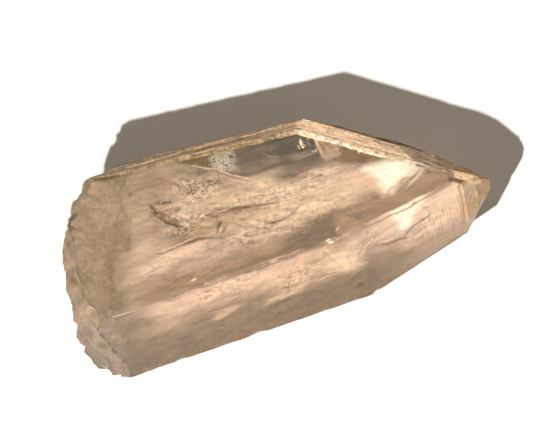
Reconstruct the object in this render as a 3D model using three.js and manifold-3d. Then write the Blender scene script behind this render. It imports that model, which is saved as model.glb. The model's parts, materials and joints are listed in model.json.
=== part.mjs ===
// One quartz crystal: a six-sided prism, closed by a lopsided chisel point at +X and by a broken base at -X.
// Units are millimetres. +X runs along the crystal's long axis towards the point, +Z is up from the face that
// it lies on, and +Y is across. Every natural face is a flat cut through a block, given by three numbers:
//   turn  which way the face looks around the long axis, in degrees: 0 looks along +Y, 90 looks up
//   lean  how far the face tips over towards the point, in degrees: 0 is a true prism face
//   out   how far the face stands from the long axis' centre point, along its own normal
import * as THREE from 'three';
import { mergeVertices } from 'three/addons/utils/BufferGeometryUtils.js';
import Module from 'manifold-3d';

const wasm = await Module();
wasm.setup();

// --- Driving dimensions -------------------------------------------------------------------------------------
const BLOCK = 160;            // side of the block that the faces are cut from
const REST_OUT = 12.3;        // resting face to the long axis

// Prism faces, in order around the crystal. The prism narrows a little towards the point.
const PRISM_FACES = [
  { name: 'back upper', turn: 30.5, lean: 4.4, out: 14.32 },
  { name: 'top', turn: 94.2, lean: 1.7, out: 11.16 },
  { name: 'front upper', turn: 150, lean: 1.2, out: 13.94 },
  { name: 'front lower', turn: 210, lean: 0.2, out: 15.06 },
  { name: 'resting', turn: 270, lean: 0, out: REST_OUT },
  { name: 'back lower', turn: 330, lean: 3.0, out: 12.2 },
];

// Steep faces between the prism and the point, on the front only.
const STEEP_FACES = [
  { name: 'front upper steep', turn: 148, lean: 8.2, out: 14.84 },
  { name: 'front lower steep', turn: 210, lean: 14.6, out: 17.55 },
];

// Faces of the point. Quartz leans them 38 degrees, give or take uneven growth.
const POINT_FACES = [
  { name: 'back upper point', turn: 39, lean: 29.8, out: 16.5 },
  { name: 'back upper point, nearer the tip', turn: 39, lean: 34.8, out: 18.2 },
  { name: 'front upper point', turn: 149, lean: 38.1, out: 26.82 },
  { name: 'front lower point', turn: 210.3, lean: 38.7, out: 26.62 },
  { name: 'back lower point', turn: 332, lean: 31, out: 18.2 },
  { name: 'back lower point, nearer the tip', turn: 332, lean: 38.5, out: 21.4 },
  { name: 'back lower bevel at the tip', turn: 332, lean: 57, out: 27.25 },
  { name: 'top sliver', turn: 84, lean: 38.2, out: 24.6 },
];

// The break at the base: flat cuts with the outward direction written out, then hollows scooped from them.
const MAIN_BREAK = { name: 'main break', dir: [-0.98, 0.2, 0.03], out: 33.0 };
const BACK_BREAK = { name: 'slanting back corner', dir: [-0.8, 0.6, 0.06], out: 29.0 };
const TOP_BREAK = { name: 'top rim', dir: [-0.86, 0.12, 0.5], out: 33.0 };
const BREAK_CUTS = [
  MAIN_BREAK,
  BACK_BREAK,
  TOP_BREAK,
  { name: 'front corner', dir: [-0.86, -0.5, 0.06], out: 33.5 },
  { name: 'front corner, rounded on', dir: [-0.56, -0.81, 0.16], out: 30.7 },
  { name: 'top rim, back', dir: [-0.56, 0.6, 0.57], out: 28.1 },
  { name: 'top rim, front', dir: [-0.74, -0.36, 0.57], out: 32.9 },
  { name: 'lower rim', dir: [-0.8, 0.1, -0.6], out: 32.6 },
  { name: 'back edge', dir: [-0.34, 0.93, 0.1], out: 21.5 },
];

// Shell-shaped hollows that cover the break: the cut each one is sunk in, where it is deepest (y, z), the
// radius of its bowl and its bite, how much longer than wide it is, and how far it is spun, in degrees.
const BREAK_HOLLOWS = [
  { cut: MAIN_BREAK, y: 2.2, z: 5.0, radius: 13, bite: 1.3, stretch: 1.25, spin: 20 },
  { cut: MAIN_BREAK, y: -5.0, z: 7.0, radius: 11, bite: 1.2, stretch: 1.2, spin: 75 },
  { cut: MAIN_BREAK, y: -4.6, z: -0.4, radius: 14, bite: 1.5, stretch: 1.35, spin: -30 },
  { cut: MAIN_BREAK, y: -11.6, z: 2.4, radius: 10, bite: 1.1, stretch: 1.3, spin: 60 },
  { cut: MAIN_BREAK, y: -11.0, z: -4.0, radius: 11, bite: 1.2, stretch: 1.2, spin: 10 },
  { cut: MAIN_BREAK, y: 3.0, z: -3.4, radius: 12, bite: 1.2, stretch: 1.3, spin: 50 },
  { cut: MAIN_BREAK, y: 2.6, z: -9.6, radius: 11, bite: 1.2, stretch: 1.25, spin: -15 },
  { cut: MAIN_BREAK, y: -4.4, z: -8.0, radius: 13, bite: 1.4, stretch: 1.3, spin: 80 },
  { cut: MAIN_BREAK, y: -0.8, z: 1.4, radius: 5, bite: 1.3, stretch: 1.5, spin: 35 },
  { cut: MAIN_BREAK, y: -7.6, z: -4.6, radius: 4, bite: 1.2, stretch: 1.4, spin: -50 },
  { cut: BACK_BREAK, y: 9.0, z: 4.6, radius: 11, bite: 1.2, stretch: 1.3, spin: 30 },
  { cut: BACK_BREAK, y: 8.4, z: -2.4, radius: 12, bite: 1.3, stretch: 1.25, spin: 70 },
  { cut: BACK_BREAK, y: 13.6, z: 0.6, radius: 9, bite: 1.0, stretch: 1.2, spin: -20 },
  { cut: BACK_BREAK, y: 9.4, z: -8.0, radius: 10, bite: 1.1, stretch: 1.2, spin: 15 },
  { cut: TOP_BREAK, y: -6.0, z: 9.6, radius: 9, bite: 0.8, stretch: 1.3, spin: 0 },
  { cut: TOP_BREAK, y: 1.6, z: 9.8, radius: 9, bite: 0.9, stretch: 1.3, spin: 90 },
];
const BREAK_HOLLOW_DETAIL = 7;

// Small chips knocked out of the long edges and the corners: the point on the edge, the direction that
// looks straight out from it, the radius of the chip's ball, and how far it bites in.
const EDGE_CHIPS = [
  { name: 'ridge meets steep face', at: [7.8, -9.7, 10.3], away: [0.1, -0.5, 0.86], radius: 1.8, bite: 0.42 },
  { name: 'ridge', at: [1.2, -9.8, 10.5], away: [0, -0.5, 0.86], radius: 1.6, bite: 0.3 },
  { name: 'ridge, near base', at: [-15.2, -9.9, 11.0], away: [0, -0.5, 0.86], radius: 2.2, bite: 0.3 },
  { name: 'front edge', at: [-7.0, -16.7, -1.1], away: [0, -1, 0], radius: 2.2, bite: 0.25 },
  { name: 'front edge, near base', at: [-20.0, -17.0, -1.0], away: [0, -1, 0], radius: 2.6, bite: 0.3 },
  { name: 'back edge, near base', at: [-12.0, 15.9, 3.0], away: [0, 1, 0], radius: 2.4, bite: 0.35 },
  { name: 'resting edge, back', at: [4.0, 6.8, -12.3], away: [0, 0.6, -0.8], radius: 2.4, bite: 0.4 },
  { name: 'resting edge, front', at: [-9.0, -10.3, -12.3], away: [0, -0.6, -0.8], radius: 2.4, bite: 0.4 },
  { name: 'point edge, front', at: [33.6, -8.6, 0.7], away: [0.7, -0.7, 0.1], radius: 1.5, bite: 0.22 },
];
const EDGE_CHIP_DETAIL = 4;

// Growth steps: shallow treads that run straight across a face, square to the long axis.
const STEP_SETS = [
  { face: STEEP_FACES[0], from: 15.0, pitch: 1.28, count: 11, depth: 0.1, tip: 4.0 },
  { face: STEEP_FACES[1], from: 17.0, pitch: 1.6, count: 7, depth: 0.1, tip: 4.0 },
  { face: PRISM_FACES[0], from: -24.0, pitch: 4.6, count: 6, depth: 0.09, tip: 1.2 },
  { face: PRISM_FACES[3], from: -26.0, pitch: 5.2, count: 7, depth: 0.08, tip: 1.0 },
  { face: PRISM_FACES[5], from: -22.0, pitch: 4.1, count: 7, depth: 0.09, tip: 1.2 },
];
const STEP_ACROSS = 60;       // length of a step cutter, longer than any face is wide
const STEP_CUTTER_DEEP = 4;   // thickness of a step cutter
const STEP_RISER = 0.2;       // share of each step that is left untouched as its riser

// --- Helpers ------------------------------------------------------------------------------------------------
const AXIS = new THREE.Vector3(1, 0, 0);
const rad = THREE.MathUtils.degToRad;

// Turns a closed three.js geometry into a solid that can be added, cut and intersected.
function toSolid(geometry) {
  const plain = geometry.clone();
  plain.deleteAttribute('normal');
  plain.deleteAttribute('uv');
  const welded = mergeVertices(plain, 1e-5);
  const mesh = new wasm.Mesh({
    numProp: 3,
    vertProperties: new Float32Array(welded.attributes.position.array),
    triVerts: new Uint32Array(welded.index.array),
  });
  return new wasm.Manifold(mesh);
}

// Turns a solid back into a three.js geometry with one flat normal per facet.
function toGeometry(solid) {
  const mesh = solid.getMesh();
  const corners = new Float32Array(mesh.numVert * 3);
  for (let i = 0; i < mesh.numVert; i += 1) {
    corners[3 * i] = mesh.vertProperties[mesh.numProp * i];
    corners[3 * i + 1] = mesh.vertProperties[mesh.numProp * i + 1];
    corners[3 * i + 2] = mesh.vertProperties[mesh.numProp * i + 2];
  }
  const geometry = new THREE.BufferGeometry();
  geometry.setAttribute('position', new THREE.BufferAttribute(corners, 3));
  geometry.setIndex(new THREE.BufferAttribute(new Uint32Array(mesh.triVerts), 1));
  const faceted = geometry.toNonIndexed();
  faceted.computeVertexNormals();
  return faceted;
}

// Outward direction of a natural face.
function faceNormal(face) {
  const lean = rad(face.lean);
  const turn = rad(face.turn);
  return new THREE.Vector3(
    Math.sin(lean),
    Math.cos(lean) * Math.cos(turn),
    Math.cos(lean) * Math.sin(turn),
  );
}

// A block lying wholly outside the plane that is square to `normal` and stands `out` from the centre.
function outerBlock(normal, out) {
  const box = new THREE.BoxGeometry(BLOCK, BLOCK, BLOCK);
  box.translate(0, 0, BLOCK / 2 + out);
  const turn = new THREE.Quaternion().setFromUnitVectors(new THREE.Vector3(0, 0, 1), normal);
  box.applyQuaternion(turn);
  return toSolid(box);
}

// A slab whose underside bites into a face: level with it at one edge and `depth` under it at the other.
function stepCutter(face, along, pitch, depth, tip) {
  const normal = faceNormal(face);
  const across = new THREE.Vector3().crossVectors(normal, AXIS).normalize();
  const down = new THREE.Vector3().crossVectors(across, normal).normalize();
  const tread = pitch * (1 - STEP_RISER);
  const slab = new THREE.BoxGeometry(tread, STEP_ACROSS, STEP_CUTTER_DEEP);
  slab.translate(tread / 2, 0, STEP_CUTTER_DEEP / 2);
  slab.rotateY(rad(tip));
  slab.translate(0, 0, tread * Math.sin(rad(tip)) - depth);
  const seat = normal.clone().multiplyScalar(face.out);
  const shift = (along - seat.x) / down.x;
  seat.addScaledVector(down, shift);
  const place = new THREE.Matrix4().makeBasis(down, across, normal);
  place.setPosition(seat);
  slab.applyMatrix4(place);
  return toSolid(slab);
}

// A faceted bowl that sinks `bite` below a spot on the surface, for hollows and chips. It is `stretch` times
// longer and as many times narrower than a ball, spun by `spin` degrees about the direction that looks out.
function bowl(spot, away, radius, bite, stretch, spin, detail) {
  const centre = spot.clone().addScaledVector(away, radius - bite);
  const geometry = new THREE.IcosahedronGeometry(radius, detail);
  geometry.scale(stretch, 1 / stretch, 1);
  geometry.rotateZ(rad(spin));
  geometry.applyQuaternion(new THREE.Quaternion().setFromUnitVectors(new THREE.Vector3(0, 0, 1), away));
  geometry.translate(centre.x, centre.y, centre.z);
  return toSolid(geometry);
}

// The spot with a given y and z on one of the break's flat cuts.
function spotOnCut(cut, y, z) {
  const normal = new THREE.Vector3(...cut.dir).normalize();
  const x = (cut.out - normal.y * y - normal.z * z) / normal.x;
  return new THREE.Vector3(x, y, z);
}

// --- The crystal --------------------------------------------------------------------------------------------
// Natural faces: start from a block and take away everything outside each face.
let crystal = toSolid(new THREE.BoxGeometry(BLOCK, BLOCK, BLOCK));
for (const face of [...PRISM_FACES, ...STEEP_FACES, ...POINT_FACES]) {
  crystal = crystal.subtract(outerBlock(faceNormal(face), face.out));
}

// Growth steps on the faces that carry them.
for (const set of STEP_SETS) {
  for (let i = 0; i < set.count; i += 1) {
    const along = set.from + i * set.pitch;
    crystal = crystal.subtract(stepCutter(set.face, along, set.pitch, set.depth, set.tip));
  }
}

// The broken base: flat cuts first, then the hollows.
for (const cut of BREAK_CUTS) {
  crystal = crystal.subtract(outerBlock(new THREE.Vector3(...cut.dir).normalize(), cut.out));
}
for (const hollow of BREAK_HOLLOWS) {
  const spot = spotOnCut(hollow.cut, hollow.y, hollow.z);
  const away = new THREE.Vector3(...hollow.cut.dir).normalize();
  const { radius, bite, stretch, spin } = hollow;
  crystal = crystal.subtract(bowl(spot, away, radius, bite, stretch, spin, BREAK_HOLLOW_DETAIL));
}

// Chips along the edges.
for (const chip of EDGE_CHIPS) {
  const spot = new THREE.Vector3(...chip.at);
  const away = new THREE.Vector3(...chip.away).normalize();
  crystal = crystal.subtract(bowl(spot, away, chip.radius, chip.bite, 1, 0, EDGE_CHIP_DETAIL));
}

// Stand it on its resting face, with the middle of its outline over the origin.
const geometry = toGeometry(crystal);
geometry.computeBoundingBox();
const middle = geometry.boundingBox.getCenter(new THREE.Vector3());
geometry.translate(-middle.x, -middle.y, -geometry.boundingBox.min.z);

const crystalMesh = new THREE.Mesh(geometry, new THREE.MeshStandardMaterial({
  name: 'quartz',
  color: 0xd9c6ae,
  roughness: 0.12,
  metalness: 0,
}));
crystalMesh.name = 'quartz_crystal';

const part = new THREE.Group();
part.name = 'quartz_crystal_part';
part.add(crystalMesh);

export default part;
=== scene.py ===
"""A quartz crystal point lying on a pale floor: clear body, broken base, and what is sealed inside it."""
import json
import math
from functools import partial

import bpy
import numpy as np
from mathutils import Matrix, Vector

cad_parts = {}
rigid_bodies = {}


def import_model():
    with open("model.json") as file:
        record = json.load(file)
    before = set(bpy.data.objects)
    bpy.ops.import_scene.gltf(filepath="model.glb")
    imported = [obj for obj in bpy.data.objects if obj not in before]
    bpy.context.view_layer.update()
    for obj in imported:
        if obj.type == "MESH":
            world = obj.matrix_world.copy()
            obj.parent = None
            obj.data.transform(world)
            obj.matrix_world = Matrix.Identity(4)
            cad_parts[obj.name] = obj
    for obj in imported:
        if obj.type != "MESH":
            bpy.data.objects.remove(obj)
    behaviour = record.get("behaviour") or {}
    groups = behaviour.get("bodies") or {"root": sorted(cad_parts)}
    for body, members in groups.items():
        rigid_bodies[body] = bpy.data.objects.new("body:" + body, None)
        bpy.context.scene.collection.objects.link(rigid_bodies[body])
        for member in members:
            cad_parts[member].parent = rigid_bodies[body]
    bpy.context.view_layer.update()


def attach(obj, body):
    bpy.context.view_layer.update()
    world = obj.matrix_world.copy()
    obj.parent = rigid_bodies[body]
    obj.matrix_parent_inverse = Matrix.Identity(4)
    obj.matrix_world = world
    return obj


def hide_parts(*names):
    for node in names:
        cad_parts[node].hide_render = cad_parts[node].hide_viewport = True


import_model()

bl_info = {
    "name": "Quartz Crystal",
    "version": (1, 0, 0),
    "blender": (4, 5, 0),
    "location": "3D View > Sidebar > Quartz",
    "description": "Makes a quartz point with a broken base, its inclusions and a studio stage",
    "category": "Add Mesh",
}

MM = 0.001
SAME_PLANE = 1e-4    # a point this close to a plane counts as lying on it, mm
# Where the middle of the crystal's outline, on the floor, lies from the middle of its long axis, in mm.
OUTLINE_MIDDLE = np.array([0.744, -0.291, -12.3])

# Natural faces: turn round the long axis (0 looks along +Y, 90 up), lean towards the point, distance out, mm.
NATURAL_FACES = {
    "back_upper": (30.5, 4.4, 14.32),
    "top": (94.2, 1.7, 11.16),
    "front_upper": (150.0, 1.2, 13.94),
    "front_lower": (210.0, 0.2, 15.06),
    "resting": (270.0, 0.0, 12.3),
    "back_lower": (330.0, 3.0, 12.2),
    "front_upper_steep": (148.0, 8.2, 14.84),
    "front_lower_steep": (210.0, 14.6, 17.55),
    "back_upper_point": (39.0, 29.8, 16.5),
    "back_upper_tip": (39.0, 34.8, 18.2),
    "front_upper_point": (149.0, 38.1, 26.82),
    "front_lower_point": (210.3, 38.7, 26.62),
    "back_lower_point": (332.0, 31.0, 18.2),
    "back_lower_tip": (332.0, 38.5, 21.4),
    "tip_bevel": (332.0, 57.0, 27.25),
    "top_sliver": (84.0, 38.2, 24.6),
}

# The break at the base: outward direction and distance out of each flat cut, mm.
BREAK_CUTS = {
    "main": ((-0.98, 0.2, 0.03), 33.0),
    "back": ((-0.8, 0.6, 0.06), 29.0),
    "top_rim": ((-0.86, 0.12, 0.5), 33.0),
    "front_corner": ((-0.86, -0.5, 0.06), 33.5),
    "front_round": ((-0.56, -0.81, 0.16), 30.7),
    "top_rim_back": ((-0.56, 0.6, 0.57), 28.1),
    "top_rim_front": ((-0.74, -0.36, 0.57), 32.9),
    "lower_rim": ((-0.8, 0.1, -0.6), 32.6),
    "back_edge": ((-0.34, 0.93, 0.1), 21.5),
}

# Shell-shaped hollows of the break: cut, y and z where deepest, radius, bite, stretch, spin in degrees.
BREAK_HOLLOWS = (
    ("main", 2.2, 5.0, 13, 0.7, 1.25, 20), ("main", -5.0, 7.0, 11, 1.0, 1.2, 75),
    ("main", -4.6, -0.4, 14, 1.5, 1.35, -30), ("main", -11.6, 2.4, 10, 1.1, 1.3, 60),
    ("main", -11.0, -4.0, 11, 1.2, 1.2, 10), ("main", 3.0, -3.4, 12, 1.2, 1.3, 50),
    ("main", 2.6, -9.6, 11, 1.2, 1.25, -15), ("main", -4.4, -8.0, 13, 2.2, 1.3, 80),
    ("main", -0.8, 1.4, 5, 1.3, 1.5, 35), ("main", -7.6, -4.6, 4, 1.2, 1.4, -50),
    ("back", 9.0, 4.6, 11, 0.8, 1.3, 30), ("back", 8.4, -2.4, 12, 1.3, 1.25, 70),
    ("back", 13.6, 0.6, 9, 1.0, 1.2, -20), ("back", 9.4, -8.0, 10, 1.1, 1.2, 15),
    ("top_rim", -6.0, 9.6, 9, 0.8, 1.3, 0), ("top_rim", 1.6, 9.8, 9, 0.5, 1.3, 90),
    ("front_corner", -10.5, -8.5, 10, 1.7, 1.2, 20),
)

SHELL_RADIUS = 8.5                    # hollows larger than this carry the rings of a shell-shaped break, mm
RING_HEIGHT, RING_PITCH = 0.05, 1.7   # of those rings, mm
BLOW_PLACE = 0.45                     # where the rings start, as a share of the hollow's radius

# Chips on the edges: point on the edge, direction out, radius, bite, mm.
EDGE_CHIPS = (
    ((7.8, -9.7, 10.3), (0.1, -0.5, 0.86), 1.8, 0.42), ((1.2, -9.8, 10.5), (0, -0.5, 0.86), 1.6, 0.3),
    ((-15.2, -9.9, 11.0), (0, -0.5, 0.86), 2.2, 0.3), ((-7.0, -16.7, -1.1), (0, -1, 0), 2.2, 0.25),
    ((-20.0, -17.0, -1.0), (0, -1, 0), 2.6, 0.3), ((-12.0, 15.9, 3.0), (0, 1, 0), 2.4, 0.35),
    ((4.0, 6.8, -12.3), (0, 0.6, -0.8), 2.4, 0.4), ((-9.0, -10.3, -12.3), (0, -0.6, -0.8), 2.4, 0.4),
    ((33.6, -8.6, 0.7), (0.7, -0.7, 0.1), 1.5, 0.22),
)

# Shell-shaped chips in a face: face, x along the axis, v across the face, radius, bite, stretch, spin.
FACE_CHIPS = (
    ("front_upper", 10.6, 1.4, 6.0, 0.30, 1.5, 60), ("front_upper", 8.4, -0.6, 7.0, 0.24, 1.5, 25),
    ("front_upper_steep", 14.2, 1.6, 6.5, 0.22, 1.6, 10), ("front_upper", 12.0, -1.4, 7.0, 0.25, 1.4, -20),
    ("front_upper", 6.6, 3.6, 1.6, 0.20, 1.3, 0), ("front_upper", 7.6, 3.4, 1.3, 0.22, 1.4, 60),
    ("top", 7.2, -9.3, 1.4, 0.16, 1.5, 0), ("front_upper_steep", 20.5, 1.0, 5.0, 0.12, 1.3, 70),
)

NICKS_ABOVE = -11.9    # no worn nick lies lower than this from the axis, where the crystal rests, mm

# Growth steps: face, start along the axis, pitch, count, depth, mm.
GROWTH_STEPS = (
    ("front_upper_steep", 13.0, 0.64, 30, 0.022), ("front_lower_steep", 17.0, 0.8, 16, 0.03),
    ("back_upper", -24.0, 4.6, 6, 0.09), ("front_lower", -26.0, 5.2, 7, 0.08),
    ("back_lower", -22.0, 4.1, 7, 0.09),
)

# How far apart a face's points are against the others': closer on fine relief, wider on the flat faces below.
FINENESS = {
    "front_upper_steep": 0.5, "front_upper_point": 0.6, "top_sliver": 0.6, "resting": 2.0, "back_lower": 1.3}
EDGE_RINGS = (0.05, 0.12, 0.22, 0.4)    # how far from each edge a face has an extra ring of points, mm
SEARCH_FROM, HALVINGS = 0.6, 20         # the search for the surface: where on the way it starts, its steps

# Faces with long wavy streaks that run towards the point.
STREAKED = ("back_upper", "back_upper_point", "back_upper_tip")

# The iron stain: the direction in which it grows, where it starts and how fast it comes in, mm.
STAIN_WAY, STAIN_FROM, STAIN_FADE = (1.0, -0.2, -0.1), 30.0, 4.0

# The milky base: the plane at which it stops, as direction towards the point and distance out, its own
# middle, how far it stays behind the break, how far apart its points are and how softly its edges are
# rounded, mm.
CLOUD_FRONT = ((0.954, -0.3, 0.0), -20.8)
CLOUD_MIDDLE = (-25.0, -1.0, -0.5)
CLOUD_BEHIND, CLOUD_SPACING, CLOUD_WORN = 0.35, 0.4, 0.2

# Colours of the veils.
TINTS = {
    "white": "FFF6E6", "milk": "DBC8B3", "glow": "DDC3A8", "pink": "CBB19D", "rosy": "C1AB95",
    "sand": "C8AC89", "beige": "B29D85", "drab": "877257", "shell": "EACFB6", "peach": "EBC9AB",
    "blush": "D4B49D", "dusk": "83735F", "cream": "FFEAD0", "straw": "E6D0AF", "fawn": "B79B73",
    "taupe": "A48C74", "tan": "917D66", "brown": "796348", "umber": "64584A", "bark": "57452F",
    "smoke": "544D46", "moss": "6B6455", "frost": "B4B29E", "iron": "C0935C",
}

# Fine growth lines under the steep face: they run square to the axis, 0.3 mm apart, with uneven ends.
STRIATIONS = [
    ("brown" if row % 2 else "shell", 0.4 + 0.2 * math.sin(5.1 * row), 0.08,
     21 + 0.3 * row, 0.9 - 1.7 * math.sin(1.7 * row), 21.1 + 0.3 * row, -3.6 + 2.2 * math.cos(2.3 * row))
    for row in range(30)
]

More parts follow.
